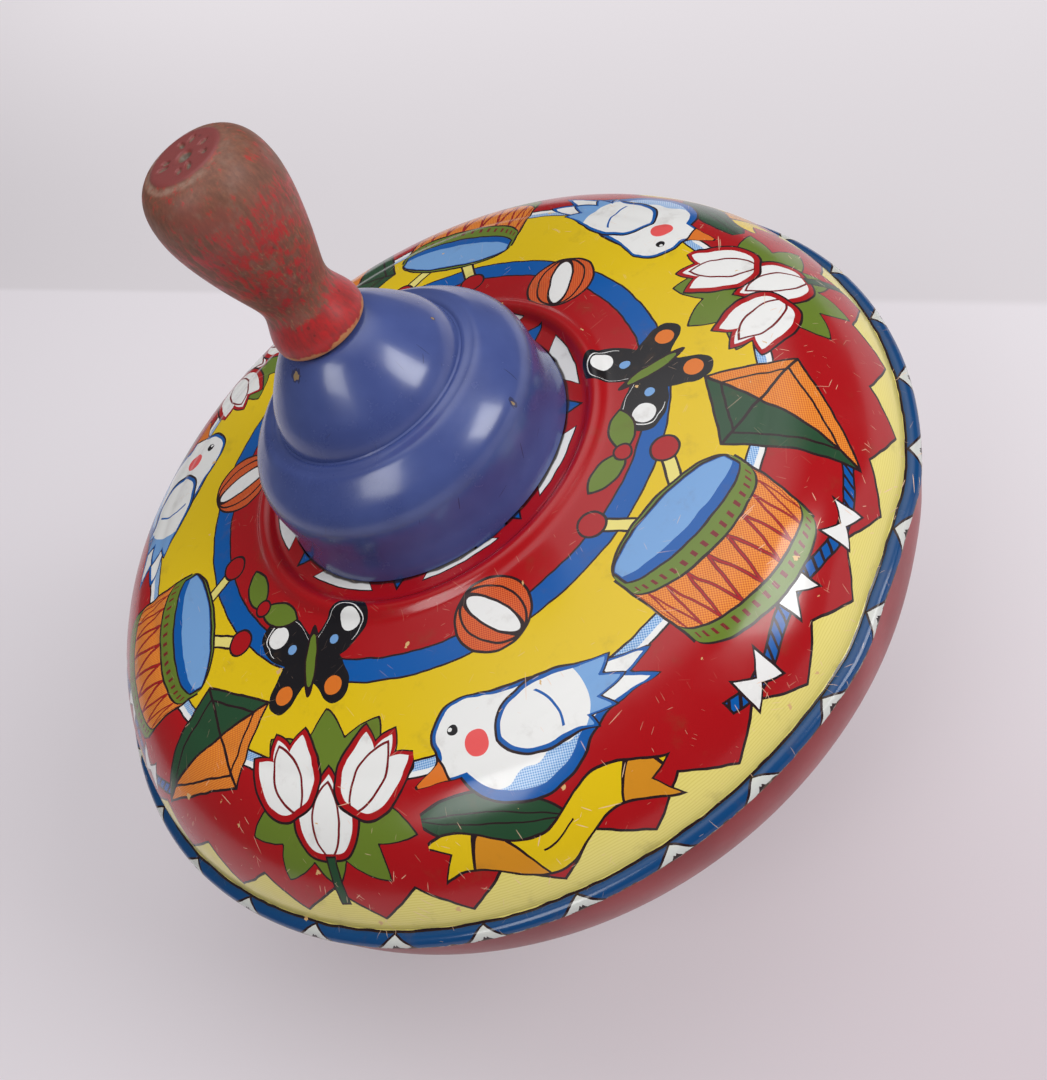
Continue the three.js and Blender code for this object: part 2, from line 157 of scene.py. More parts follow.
class Sheet:
    """The nodes of a material or a world, with plain words for measuring and painting on it."""

    def __init__(self, owner, shader="Principled BSDF"):
        owner.use_nodes = True
        self.owner = owner
        self.tree = owner.node_tree
        self.shader = self.tree.nodes[shader]
        self.count = 0

    # Plumbing

    def node(self, kind, inputs=None, **settings):
        """A new node, placed in the next space of the node view's columns."""
        made = self.tree.nodes.new(kind)
        for key, value in settings.items():
            setattr(made, key, value)
        for key, value in (inputs or {}).items():
            if value is not None:
                self.feed(made.inputs[key], value)
        made.location = (-220 * (1 + self.count // 12), -170 * (self.count % 12))
        self.count += 1
        return made

    def feed(self, socket, value):
        if isinstance(value, Field):
            self.tree.links.new(value.socket, socket)
        elif isinstance(value, bpy.types.NodeSocket):
            self.tree.links.new(value, socket)
        else:
            socket.default_value = value

    def sum_of(self, operation, first, second=None, third=None):
        """One Math node. Multiply-add and wrap take a third number."""
        inputs = {0: first, 1: second, 2: third}
        return Field(self, self.node("ShaderNodeMath", inputs, operation=operation).outputs[0])

    def vector_sum(self, operation, first, second=None, scale=None):
        """One Vector Math node that gives a place."""
        inputs = {0: first, 1: second, "Scale": scale}
        return self.node("ShaderNodeVectorMath", inputs, operation=operation).outputs[0]

    def measure(self, operation, first, second=None):
        """One Vector Math node that gives a number."""
        made = self.node("ShaderNodeVectorMath", {0: first, 1: second}, operation=operation)
        return Field(self, made.outputs["Value"])

    # Places

    def object_place(self):
        """Where a point is on the piece's own coordinates."""
        place = self.node("ShaderNodeTexCoord").outputs["Object"]
        return self.vector_sum("SCALE", place, scale=1 / MM)

    def print_place(self):
        """Where a point is on the flat printed sheet."""
        place = self.node("ShaderNodeUVMap", uv_map="print").outputs[0]
        return self.vector_sum("SCALE", place, scale=1 / MM)

    def split(self, place):
        return [Field(self, s) for s in self.node("ShaderNodeSeparateXYZ", {0: place}).outputs]

    def joined(self, x, y):
        return self.node("ShaderNodeCombineXYZ", {0: x, 1: y}).outputs[0]

    def length(self, place):
        """How far a place is from its centre."""
        return self.measure("LENGTH", place)

    def moved(self, place, centre=(0, 0, 0), turn=0.0, size=(1, 1, 1)):
        """The place as read from a centre, on axes turned by an angle."""
        inputs = {
            "Vector": place,
            "Location": centre,
            "Rotation": (0, 0, math.radians(turn)),
            "Scale": size,
        }
        return self.node("ShaderNodeMapping", inputs, vector_type="TEXTURE").outputs[0]

    # Combining

    def smallest(self, *fields):
        result = fields[0]
        for field in fields[1:]:
            result = self.sum_of("MINIMUM", result, field)
        return result

    def largest(self, *fields):
        result = fields[0]
        for field in fields[1:]:
            result = self.sum_of("MAXIMUM", result, field)
        return result

    def below(self, field, limit):
        return self.sum_of("LESS_THAN", field, limit)

    def above(self, field, limit):
        return self.sum_of("GREATER_THAN", field, limit)

    def ramp(self, field, low, high, start=0.0, end=1.0, smooth=True):
        """Goes from start to end while the field goes from low to high, and stops there."""
        inputs = {
            "Value": field,
            "From Min": low,
            "From Max": high,
            "To Min": start,
            "To Max": end,
        }
        kind = "SMOOTHSTEP" if smooth else "LINEAR"
        made = self.node("ShaderNodeMapRange", inputs, interpolation_type=kind)
        return Field(self, made.outputs[0])

    def over(self, paint, colour, amount):
        """A colour laid over the paint where the amount is 1."""
        inputs = {0: amount, 6: paint, 7: colour}
        return self.node("ShaderNodeMix", inputs, data_type="RGBA").outputs[2]

    def curve(self, field, knots):
        """Reads a line given by (place, height, corner) knots, both from 0 to 1."""
        made = self.node("ShaderNodeFloatCurve", {"Value": field})
        line = made.mapping.curves[0]
        while len(line.points) < len(knots):
            line.points.new(0.5, 0.5)
        for point, (across, height, corner) in zip(line.points, knots):
            point.location = (across, height)
            point.handle_type = "VECTOR" if corner else "AUTO_CLAMPED"
        made.mapping.update()
        return Field(self, made.outputs[0])

    # Patterns

    def grain(self, place, size, detail=2.0, rough=0.5, flat=False, stretch=None):
        """Cloudy noise with patches of about that size, from 0 to 1."""
        if stretch:
            place = self.moved(place, size=stretch)
        inputs = {"Vector": place, "Scale": 1 / size, "Detail": detail, "Roughness": rough}
        kind = "2D" if flat else "3D"
        made = self.node("ShaderNodeTexNoise", inputs, noise_dimensions=kind)
        return Field(self, made.outputs[0])

    def wandering(self, place, size, reach):
        """The place drawn this way and that, by up to about half the reach."""
        inputs = {"Vector": place, "Scale": 1 / size, "Detail": 1.0}
        cloud = self.node("ShaderNodeTexNoise", inputs, noise_dimensions="2D").outputs["Color"]
        centred = self.vector_sum("SUBTRACT", cloud, (0.5, 0.5, 0.5))
        offset = self.vector_sum("MULTIPLY", centred, (reach * 2, reach * 2, 0))
        return self.vector_sum("ADD", place, offset)

    def cells(self, place, size, flat):
        """Scattered points: the distance to the nearest, in cells, and its own number."""
        inputs = {"Vector": place, "Scale": 1 / size}
        kind = "2D" if flat else "3D"
        made = self.node("ShaderNodeTexVoronoi", inputs, voronoi_dimensions=kind)
        number = self.node("ShaderNodeSeparateColor", {0: made.outputs["Color"]})
        return Field(self, made.outputs["Distance"]), Field(self, number.outputs[0])

    def specks(self, place, spacing, size, share, flat=False):
        """Small chips: 1 inside one, in that share of the cells."""
        distance, number = self.cells(place, spacing, flat)
        radius = self.ramp(number, 1 - share, 1, 0.0, size / spacing, smooth=False)
        return self.below(distance, radius)

    def strokes(self, place, turn, length, width, share):
        """Short straight scratches that all lie one way: 1 on a scratch."""
        along = self.moved(place, turn=turn, size=(length, width, length))
        distance, number = self.cells(along, 1.0, flat=True)
        reach = self.ramp(number, 1 - share, 1, 0.0, 0.15, smooth=False)
        return self.below(distance, reach)

    # Finishing

    def finish(self, **sockets):
        """Feeds the shader's own sockets, by their names with _ for a space."""
        for key, value in sockets.items():
            self.feed(self.shader.inputs[key.replace("_", " ")], value)
        return self.owner

    def bump(self, height, depth):
        """Relief: a height field where 1 is that deep."""
        inputs = {"Strength": 1.0, "Distance": depth * MM, "Height": height}
        self.finish(Normal=self.node("ShaderNodeBump", inputs).outputs[0])


def new_sheet(name):
    return Sheet(bpy.data.materials.new(name))


# ---------------------------------------------------------------------------
# Shapes drawn on a place: each gives the distance to its edge, with a minus sign inside


def disc(sheet, place, centre, radius):
    return sheet.measure("DISTANCE", place, (*centre, 0)) - radius


def half_plane(sheet, place, angle, distance):
    """Everything short of a straight line that faces the way of the angle."""
    facing = (math.cos(math.radians(angle)), math.sin(math.radians(angle)), 0)
    return sheet.measure("DOT_PRODUCT", place, facing) - distance


def oval(sheet, place, across, up):
    scaled = sheet.moved(place, size=(across, up, 1))
    return (sheet.length(scaled) - 1) * min(across, up)


def pointed_leaf(sheet, place, centre, length, width, turn):
    """The part that two equal discs share."""
    local = sheet.moved(place, (*centre, 0), turn)
    sag = width / 2
    radius = (length**2 / 4 + sag**2) / (2 * sag)
    offset = radius - sag
    return sheet.largest(
        disc(sheet, local, (0, offset), radius), disc(sheet, local, (0, -offset), radius)
    )


def cutout(sheet, place, outline, size, centre=(0, 0), turn=0.0):
    """A shape cut round a centre.

    The outline goes once round from -180 degrees: (angle, reach), with a third value where
    there is a sharp corner. No reach is longer than the size.
    """
    local = sheet.moved(place, (*centre, 0), turn)
    x, y, _ = sheet.split(local)
    angle = sheet.sum_of("ARCTAN2", y, x)
    part = sheet.sum_of("MULTIPLY_ADD", angle, 1 / FULL_TURN, 0.5)
    knots = [(knot[0] / 360 + 0.5, knot[1] / size, len(knot) > 2) for knot in outline]
    return sheet.sum_of("MULTIPLY_ADD", sheet.curve(part, knots), -size, sheet.length(local))


def mirrored(outline):
    """A half outline, from -90 to 90 degrees, made whole by its mirror image."""
    left = [((-180 if k[0] <= 0 else 180) - k[0], *k[1:]) for k in outline]
    whole = {knot[0]: knot for knot in outline + left}
    if 180 in whole or -180 in whole:
        whole[180] = (180, *whole.get(180, whole.get(-180))[1:])
        whole[-180] = (-180, *whole[180][1:])
    return [whole[angle] for angle in sorted(whole)]


# ---------------------------------------------------------------------------
# The printed upper shell

# Radii on the flat sheet that the shell was pressed from
RINGS = {
    "bell_foot": 33.2,
    "bead": 43.3,
    "blue_inner": 51.12,
    "blue_outer": 56.1,
    "light_inner": 73.5,
    "white_inner": 75.4,
    "white_outer": 76.7,
    "saw_inner": 97.3,
    "saw_outer": 104.1,
    "crease": 108.2,
    "edge": 113.36,
}
RING_LINE = 0.42  # width of the printed lines between rings
CREASE_LINE = 0.6
SAW_LINE = 0.68
PEN_LINE = 0.54  # the key line round each shape, outside its colour
DOT_PITCH = 0.64  # of the printer's dot screen
DOT_TURN = 18
CREAM_PITCH = 0.62  # of the fine rings in the cream
TEETH = 32
TOOTH_TURN = 5.32
PETALS = 8
PETAL_TURN = 9.6  # to the first blue point
PETAL_REACH = 36.1
PETAL_DEPTH = 5.6
PETAL_MIDDLE = (0.5, 2.2)  # the ring of petals is printed a little off the middle
SECTOR = FULL_TURN / 3  # radians: the pictures repeat three times round
SECTOR_TURN = math.radians(-60)
# Where each picture stands: its angle round the top, its reach and its own tilt
STANDS = {
    "songbird": (-42, 75.5, 8),
    "ball": (-40, 50.5, 30),
    "drum": (-5, 74.5, -13),
    "kite": (21, 74, -32),
    "tulips": (45.5, 81, 4),
    "butterfly": (33, 52.5, 24),
    "ribbon": (-44, 94, 0),
    "sprig": (9, 47.5, 0),
}
# Turn, length and width of the cells, and the share of them scratched
SCRATCHES = (
    (8, 15, 0.75, 0.045),
    (33, 8, 0.6, 0.06),
    (57, 21, 0.7, 0.035),
    (82, 7, 0.6, 0.07),
    (101, 12, 0.65, 0.06),
    (126, 8, 0.6, 0.05),
    (151, 17, 0.7, 0.035),
    (172, 6, 0.6, 0.06),
)


def ring_line(sheet, reach, radius, width=RING_LINE):
    return sheet.below(abs(reach - radius), width / 2)


def tinted(sheet, paint, shape, colour):
    """Paints a shape without a key line."""
    return sheet.over(paint, colour, sheet.below(shape, 0.0))


def filled(sheet, paint, shape, colour, line=PEN_LINE):
    """Paints a shape and the key line round it."""
    paint = sheet.over(paint, OUTLINE, sheet.below(shape, line))
    return tinted(sheet, paint, shape, colour)


def stroked(sheet, paint, shape, width, within, colour=OUTLINE):
    """Paints a line along the edge of a shape, only inside another shape."""
    return tinted(sheet, paint, sheet.largest(abs(shape) - width / 2, within), colour)


def standing(sheet, place, name):
    """Axes for one picture. Up is towards the bell, so it stands upright from the side."""
    angle, reach, tilt = STANDS[name]
    turn = math.radians(angle)
    middle = (reach * math.cos(turn), reach * math.sin(turn), 0)
    return sheet.moved(place, middle, angle + 90 + tilt)


# Outlines of the pictures: angle, reach, and 1 at a sharp corner
BIRD_BODY = [
    (-180, 15.2), (-160, 14.6), (-140, 13.6), (-110, 12.4), (-80, 11.6), (-50, 11.6),
    (-32, 13.2), (-20, 17.5), (-13, 26, 1), (-7.5, 20.5, 1), (-1, 26.5, 1), (8, 17),
    (20, 12), (40, 9.6), (70, 9.0), (95, 9.8), (112, 12.6), (125, 16.4), (138, 18.6),
    (150, 19.0), (160, 18.2), (165, 18.9, 1), (171, 24.6, 1), (175.5, 18.3, 1), (180, 15.2),
]
BIRD_WING = [
    (-180, 9.2), (-150, 8.6), (-120, 7.6), (-90, 7.4), (-66, 8.2), (-50, 11.6, 1),
    (-42, 9.6, 1), (-32, 14.4, 1), (-24, 11.4, 1), (-13, 17, 1), (-5, 12.8, 1), (4, 16, 1),
    (16, 10.6), (40, 7.6), (70, 6.2), (100, 6.0), (140, 7.6), (180, 9.2),
]
TULIP = mirrored([
    (-90, 7.4), (-60, 7.9), (-30, 7.6), (0, 7.5), (24, 8.2), (52, 10.4, 1), (68, 6.8, 1),
    (90, 10.2, 1),
])
LEAVES = [
    (-180, 15), (-165, 20, 1), (-150, 13, 1), (-132, 19, 1), (-112, 11, 1), (-90, 15.5, 1),
    (-70, 10.5, 1), (-48, 19, 1), (-30, 13, 1), (-14, 20.5, 1), (4, 13.5, 1), (22, 20.5, 1),
    (40, 14, 1), (60, 20, 1), (78, 13.5, 1), (98, 19.5, 1), (116, 13.5, 1), (138, 20.5, 1),
    (158, 13, 1), (180, 15),
]
BUTTERFLY = mirrored([
    (-90, 6.5, 1), (-80, 5.2), (-66, 10), (-50, 12.6), (-34, 11.4), (-18, 8.2), (-2, 6.6, 1),
    (10, 9.6), (24, 14), (38, 16), (52, 15.2), (66, 11), (80, 5.8), (90, 5, 1),
])
# Other sizes of the pictures
BEAK_ROOT = -17.4
WING_MIDDLE = (3.5, 1.5)
BALL_RADIUS = 7.8
STICK_FOOT = (2, 9)
STICK_LENGTH = 15.5
STICK_LEAN = 58
DRUM_HALF_WIDTH = 16.5
DRUM_HALF_HEIGHT = 9.5
DRUM_BOW = 6.2  # how far its round edges drop in the middle
DRUM_RIM = 4.2
KITE_SIDES = ((44, 8.9), (-27, 11))  # the way each edge faces, and how far out it is
TAIL_REACH = 93.6  # the kite's tail lies along the shoulder
TAIL_ARC = 95  # the radius that turns an angle into a length along the tail
TAIL_MIDDLE = -5
TAIL_HALF_LENGTH = 29.5
BOW_MIDDLE = -9
BOW_SPACING = 18
PETAL_LENGTH = 15
PETAL_WIDTH = 6.4
RIBBON_HALF_WIDTH = 3.7
RIBBON_HALF_LENGTH = 20
LONG_LEAF = (-11, 7)
LONG_LEAF_LENGTH = 30
LONG_LEAF_TURN = -24


def songbird(sheet, paint, place, shade):
    local = standing(sheet, place, "songbird")
    u, v, _ = sheet.split(local)
    body = cutout(sheet, local, BIRD_BODY, 27)
    paint = filled(sheet, paint, body, BLUE)
    paint = tinted(sheet, paint, body + sheet.ramp(v, -10, 8, 2.0, 0.7), WHITE)
    belly = sheet.largest(body + 1.9, v + 6.2 - sheet.sum_of("SINE", u * 0.9) * 0.5)
    paint = tinted(sheet, paint, belly, shade)
    past_beak = u - BEAK_ROOT
    paint = tinted(sheet, paint, sheet.largest(body, past_beak), ORANGE)
    paint = stroked(sheet, paint, past_beak, 0.5, body)
    wing = cutout(sheet, local, BIRD_WING, 18, WING_MIDDLE)
    paint = filled(sheet, paint, wing, BLUE)
    paint = sheet.over(paint, WHITE, sheet.below(wing, -0.8))
    quills = sheet.largest(wing + 0.8, -disc(sheet, local, WING_MIDDLE, 9.4))
    paint = tinted(sheet, paint, quills, LIGHT_BLUE)
    paint = stroked(sheet, paint, disc(sheet, local, (-2, 0), 8.4), 0.5, wing + 2.2, BLUE)
    spots = (((-9.6, 3.6), 2.5, CHEEK), ((-12.4, 8.6), 1.1, BLACK), ((-12.8, 9.0), 0.42, WHITE))
    for centre, radius, colour in spots:
        paint = tinted(sheet, paint, disc(sheet, local, centre, radius), colour)
    return paint


def ball(sheet, paint, place, orange):
    local = standing(sheet, place, "ball")
    round_ball = disc(sheet, local, (0, 0), BALL_RADIUS)
    paint = filled(sheet, paint, round_ball, orange)
    stripe = oval(sheet, local, BALL_RADIUS / 3, BALL_RADIUS)
    paint = tinted(sheet, paint, stripe, WHITE)
    paint = stroked(sheet, paint, stripe, 0.5, round_ball)
    outer = oval(sheet, local, 5.6, BALL_RADIUS)
    return stroked(sheet, paint, outer, 0.45, round_ball)


def drumsticks(sheet, paint, halves):
    """A pair of sticks that lean out behind the drum."""
    stick = sheet.moved(halves, (*STICK_FOOT, 0), STICK_LEAN)
    along, off, _ = sheet.split(stick)
    shaft = sheet.largest(abs(off) - 1.1, along - STICK_LENGTH)
    paint = filled(sheet, paint, sheet.largest(shaft, 2.0 - along), CREAM)
    return filled(sheet, paint, disc(sheet, stick, (STICK_LENGTH + 0.5, 0), 2.7), RED)


def toy_drum(sheet, paint, place, orange):
    u, v, _ = sheet.split(standing(sheet, place, "drum"))
    paint = drumsticks(sheet, paint, sheet.joined(abs(u), v))
    half_wall = DRUM_HALF_HEIGHT - DRUM_RIM
    share = u * (1 / DRUM_HALF_WIDTH)
    bow = sheet.sum_of("SQRT", sheet.largest(1.0 - share * share, 0.0)) * DRUM_BOW
    side = abs(u) - DRUM_HALF_WIDTH
    paint = filled(sheet, paint, sheet.largest(side, abs(v) - bow - DRUM_HALF_HEIGHT), OLIVE)
    level = v + bow
    wall = sheet.largest(abs(level) - half_wall, side)
    paint = filled(sheet, paint, wall, orange)
    skin = sheet.largest(side + 0.9, abs(v - DRUM_HALF_HEIGHT) - bow * 0.86)
    paint = filled(sheet, paint, skin, BLUE, 0.5)
    skin = sheet.largest(skin, abs(v - DRUM_HALF_HEIGHT - 1.2) - bow * 0.72)
    paint = sheet.over(paint, LIGHT_BLUE, sheet.below(skin, -0.2))
    # lacing round the wall, and studs on the rims
    round_part = sheet.sum_of("ARCSINE", share) * 3.1
    lacing = sheet.sum_of("PINGPONG", round_part, 0.5) * 2 * half_wall
    lacing = abs(level - lacing * 2 + half_wall) * 0.55
    paint = tinted(sheet, paint, sheet.largest(lacing - 0.85, wall), DARK_RED)
    paint = tinted(sheet, paint, sheet.largest(lacing - 0.4, wall), RED)
    stud_turn = sheet.sum_of("PINGPONG", round_part + 0.25, 0.25) * 9.0
    rim_middle = abs(level) - (DRUM_HALF_HEIGHT - DRUM_RIM / 2)
    studs = sheet.largest(abs(rim_middle) - 0.75, sheet.largest(stud_turn - 0.75, side + 0.5))
    return tinted(sheet, paint, studs, DARK_RED)


def kite(sheet, paint, place, orange):
    u, v, _ = sheet.split(standing(sheet, place, "kite"))
    halves = sheet.joined(abs(u), v)
    sail = sheet.largest(*[half_plane(sheet, halves, *side) for side in KITE_SIDES])
    paint = filled(sheet, paint, sail, DARK_GREEN)
    paint = tinted(sheet, paint, sheet.largest(sail, -u), orange)
    paint = stroked(sheet, paint, sail + 2.4, 0.5, sail)
    cross = sheet.smallest(abs(u), abs(v)) - 0.32
    return tinted(sheet, paint, sheet.largest(cross, sail), OUTLINE)


def kite_tail(sheet, paint, angle, reach):
    """A twisted cord along the shoulder, with bows tied round it."""
    along = angle * TAIL_ARC
    sway = sheet.sum_of("SINE", along * 0.16) * 2.3
    off = reach - sway - TAIL_REACH
    cord = sheet.largest(abs(off) - 1.15, abs(along - TAIL_MIDDLE) - TAIL_HALF_LENGTH)
    paint = filled(sheet, paint, cord, BLUE, 0.5)
    twist = sheet.sum_of("SINE", along * 2.5 + off * 1.7)
    paint = tinted(sheet, paint, sheet.largest(0.55 - twist, cord), OUTLINE)
    from_middle = along - BOW_MIDDLE
    half = BOW_SPACING / 2
    from_knot = abs(sheet.sum_of("WRAP", from_middle, half, -half))
    bow = sheet.largest(abs(off) - from_knot * 0.8 - 0.5, from_knot - 3.8)
    bow = sheet.largest(bow, abs(from_middle) - 26.0)
    return filled(sheet, paint, bow, WHITE, 0.5)


def tulips(sheet, paint, place):
    local = standing(sheet, place, "tulips")
    paint = filled(sheet, paint, cutout(sheet, local, LEAVES, 21), OLIVE)
    u, v, _ = sheet.split(local)
    halves = sheet.joined(abs(u), v)
    for centre, turn, spread in (((0, -2.5), 0, local), ((9.6, 5.6), -26, halves)):
        flower = cutout(sheet, spread, TULIP, 10.5, centre, turn)
        paint = filled(sheet, paint, flower, RED)
        paint = sheet.over(paint, WHITE, sheet.below(flower, -1.25))
        petal = pointed_leaf(sheet, spread, centre, PETAL_LENGTH, PETAL_WIDTH, turn + 90)
        paint = stroked(sheet, paint, petal, 0.5, flower + 1.0, DARK_RED)
    stalk = sheet.largest(abs(u) - 0.9, sheet.largest(-v - 19.5, v + 9.5))
    return filled(sheet, paint, stalk, DARK_GREEN, 0.4)


def butterfly(sheet, paint, place):
    local = standing(sheet, place, "butterfly")
    wings = cutout(sheet, local, BUTTERFLY, 16.5)
    paint = sheet.over(paint, BLACK, sheet.below(wings, 0.4))
    u, v, _ = sheet.split(local)
    halves = sheet.joined(abs(u), v)
    upper_wings = sheet.largest(wings + 1.3, 3.0 - v)
    margin = sheet.largest(upper_wings - 0.4, wings)
    paint = stroked(sheet, paint, wings + 1.3, 0.28, margin, WHITE)
    spots = (((9.2, 7.2), 2.5, WHITE), ((5.2, 3.6), 1.1, LIGHT_BLUE), ((6.0, -6.6), 2.1, ORANGE))
    for centre, radius, colour in spots:
        paint = tinted(sheet, paint, disc(sheet, halves, centre, radius), colour)
    return filled(sheet, paint, oval(sheet, local, 1.1, 6.0), OLIVE, 0.4)


def ribbon_and_leaf(sheet, paint, place):
    """A waved ribbon with forked ends on the red shoulder, over a long dark leaf."""
    local = standing(sheet, place, "ribbon")
    leaf = pointed_leaf(sheet, local, LONG_LEAF, LONG_LEAF_LENGTH, 9.5, LONG_LEAF_TURN)
    vein = pointed_leaf(sheet, local, LONG_LEAF, LONG_LEAF_LENGTH, 2.2, LONG_LEAF_TURN)
    paint = filled(sheet, paint, leaf, DARK_GREEN)
    paint = stroked(sheet, paint, vein, 0.3, leaf)
    u, v, _ = sheet.split(local)
    phase = u * 0.2 - 0.6
    bent = u * u * (0.5 / STANDS["ribbon"][1])  # it follows the shoulder round
    wave = v - bent - sheet.sum_of("SINE", phase) * 3.0 + 1.0
    fork = abs(u + 1) - RIBBON_HALF_LENGTH - abs(wave) * 1.1
    ribbon = sheet.largest(abs(wave) - RIBBON_HALF_WIDTH, fork)
    paint = filled(sheet, paint, ribbon, YELLOW)
    back = sheet.sum_of("COSINE", phase) * 5.0 + 3.0 + wave * 0.35
    paint = tinted(sheet, paint, sheet.largest(back, ribbon), ink(202, 134, 30))
    paint = stroked(sheet, paint, back, 0.5, ribbon)
    crease = sheet.largest(abs(wave - 1.2) - 0.2, abs(u + 1) - 4)
    return tinted(sheet, paint, crease, OUTLINE)


def sprig(sheet, paint, place):
    """A pair of leaves on the inner rings."""
    local = standing(sheet, place, "sprig")
    u, v, _ = sheet.split(local)
    leaf = pointed_leaf(sheet, sheet.joined(abs(u), v), (5.2, 0.8), 10.5, 5.0, 24)
    paint = filled(sheet, paint, leaf, OLIVE, 0.5)
    return filled(sheet, paint, disc(sheet, local, (0, -1), 1.7), RED, 0.5)


def dot_screen(sheet, place):
    """A printer's dot screen: 0 between the dots and 1 on them."""
    x, y, _ = sheet.split(sheet.moved(place, turn=DOT_TURN))
    step = FULL_TURN / DOT_PITCH
    dots = sheet.sum_of("SINE", x * step) * sheet.sum_of("SINE", y * step)
    return sheet.ramp(dots, -0.3, 0.4)


def ring_grounds(sheet, reach, light_blue):
    """The plain grounds from the middle out, with lines between them."""
    paint = RED
    for colour, start in (
        (BLUE, "blue_inner"),
        (YELLOW, "blue_outer"),
        (light_blue, "light_inner"),
        (WHITE, "white_inner"),
        (RED, "white_outer"),
    ):
        paint = sheet.over(paint, colour, sheet.above(reach, RINGS[start]))
    for name in ("blue_inner", "blue_outer", "light_inner", "white_outer"):
        paint = sheet.over(paint, OUTLINE, ring_line(sheet, reach, RINGS[name]))
    return paint


def petal_ring(sheet, paint, flat, place, reach):
    """Blue points and white petals round the bell, and painted shade at the bell's foot."""
    ring = sheet.moved(place, (*PETAL_MIDDLE, 0))
    x, y, _ = sheet.split(ring)
    short = sheet.length(ring) - PETAL_REACH
    part = sheet.sum_of("ARCTAN2", y, x) * (PETALS / FULL_TURN) - PETAL_TURN / 360 * PETALS
    from_point = sheet.sum_of("PINGPONG", part, 0.5)
    spacing = FULL_TURN * PETAL_REACH / PETALS
    paint = filled(sheet, paint, from_point * spacing * 0.86 + short * 0.5, BLUE, 0.45)
    across = (0.5 - from_point) * spacing
    petal = sheet.largest(short, across * across * 0.082 - PETAL_DEPTH - short)
    paint = filled(sheet, paint, petal, WHITE, 0.3)
    # painted shade: a ragged dark ring at the bell's lower edge, where its shadow falls on the
    # deck
    ragged = reach + (sheet.grain(flat, 3.0, flat=True) - 0.5) * 0.4
    foot = RINGS["bell_foot"]
    return sheet.over(paint, ink(30, 16, 18), sheet.ramp(ragged, foot - 0.35, foot, 0.9, 0.0))


def saw_teeth(sheet, paint, zigzag, reach):
    """The cream border with its toothed inner edge."""
    depth = RINGS["saw_outer"] - RINGS["saw_inner"]
    past = reach + zigzag * (2 * depth) - RINGS["saw_outer"]
    lines = sheet.sum_of("SINE", reach * (FULL_TURN / CREAM_PITCH))
    cream = sheet.over(CREAM, ink(214, 199, 104), sheet.ramp(lines, 0.0, 0.8))
    paint = sheet.over(paint, cream, sheet.above(past, 0.0))
    return sheet.over(paint, OUTLINE, sheet.below(abs(past), SAW_LINE / 2))


def rim_band(sheet, paint, zigzag, reach):
    """The blue rim with its white triangles, each with a dark blot at its base."""
    paint = sheet.over(paint, RIM_BLUE, sheet.above(reach, RINGS["crease"]))
    across = zigzag * (FULL_TURN * RIM_RADIUS / TEETH)
    down = reach - RINGS["crease"] - 0.7
    triangle = sheet.largest(across - down * 1.3, -down) * 0.65
    paint = filled(sheet, paint, triangle, ink(196, 198, 194), 0.5)
    base = reach - RINGS["edge"] + 2.5
    blot = sheet.largest(abs(across - 0.3) - base * 0.8, -base)
    paint = tinted(sheet, paint, blot, OUTLINE)
    return sheet.over(paint, OUTLINE, ring_line(sheet, reach, RINGS["crease"], CREASE_LINE))


def pictures(sheet, paint, angle, reach, screen, light_blue):
    """The pictures, which repeat round the top."""
    orange = sheet.over(ink(226, 142, 50), ink(196, 92, 32), screen)
    deep_orange = sheet.over(ink(212, 104, 48), ink(182, 54, 26), screen)
    part = sheet.sum_of("WRAP", angle - SECTOR_TURN, SECTOR / 2, -SECTOR / 2)
    x = sheet.sum_of("COSINE", part) * reach
    place = sheet.joined(x, sheet.sum_of("SINE", part) * reach)
    paint = kite_tail(sheet, paint, part, reach)
    paint = ribbon_and_leaf(sheet, paint, place)
    paint = ball(sheet, paint, place, deep_orange)
    paint = songbird(sheet, paint, place, light_blue)
    paint = toy_drum(sheet, paint, place, orange)
    paint = kite(sheet, paint, place, orange)
    paint = butterfly(sheet, paint, place)
    paint = tulips(sheet, paint, place)
    return sprig(sheet, paint, place)


def wear(sheet, paint, flat, reach):
    """A bare raw edge, grime, scratches that fade towards the bell, and chips, also returned."""
    chipped = sheet.grain(flat, 2.6, detail=4, flat=True)
    worn_edge = sheet.above(reach + chipped * 1.2, RINGS["edge"] - 0.95)
    bare = sheet.over(BARE_TIN, ink(80, 60, 46), sheet.ramp(chipped, 0.3, 0.6))
    paint = sheet.over(paint, bare, worn_edge)
    grime = sheet.grain(flat, 9, detail=5, rough=0.65, flat=True)
    paint = sheet.over(paint, ink(96, 70, 40), sheet.ramp(grime, 0.56, 0.85, 0.0, 0.28))
    bent = sheet.wandering(flat, 34, 2.6)
    scratch = sheet.largest(*[sheet.strokes(bent, *stroke) for stroke in SCRATCHES])
    handled = sheet.ramp(reach, 55, 84, 0.3, 1.0)
    faint = sheet.ramp(sheet.grain(flat, 22, flat=True), 0.38, 0.62, 0.05, 0.8)
    paint = sheet.over(paint, ink(228, 190, 160), scratch * faint * handled)
    chip = sheet.specks(sheet.wandering(flat, 0.9, 0.8), 8.5, 0.6, 0.12, flat=True)
    return sheet.over(paint, ink(206, 168, 112), chip), chip


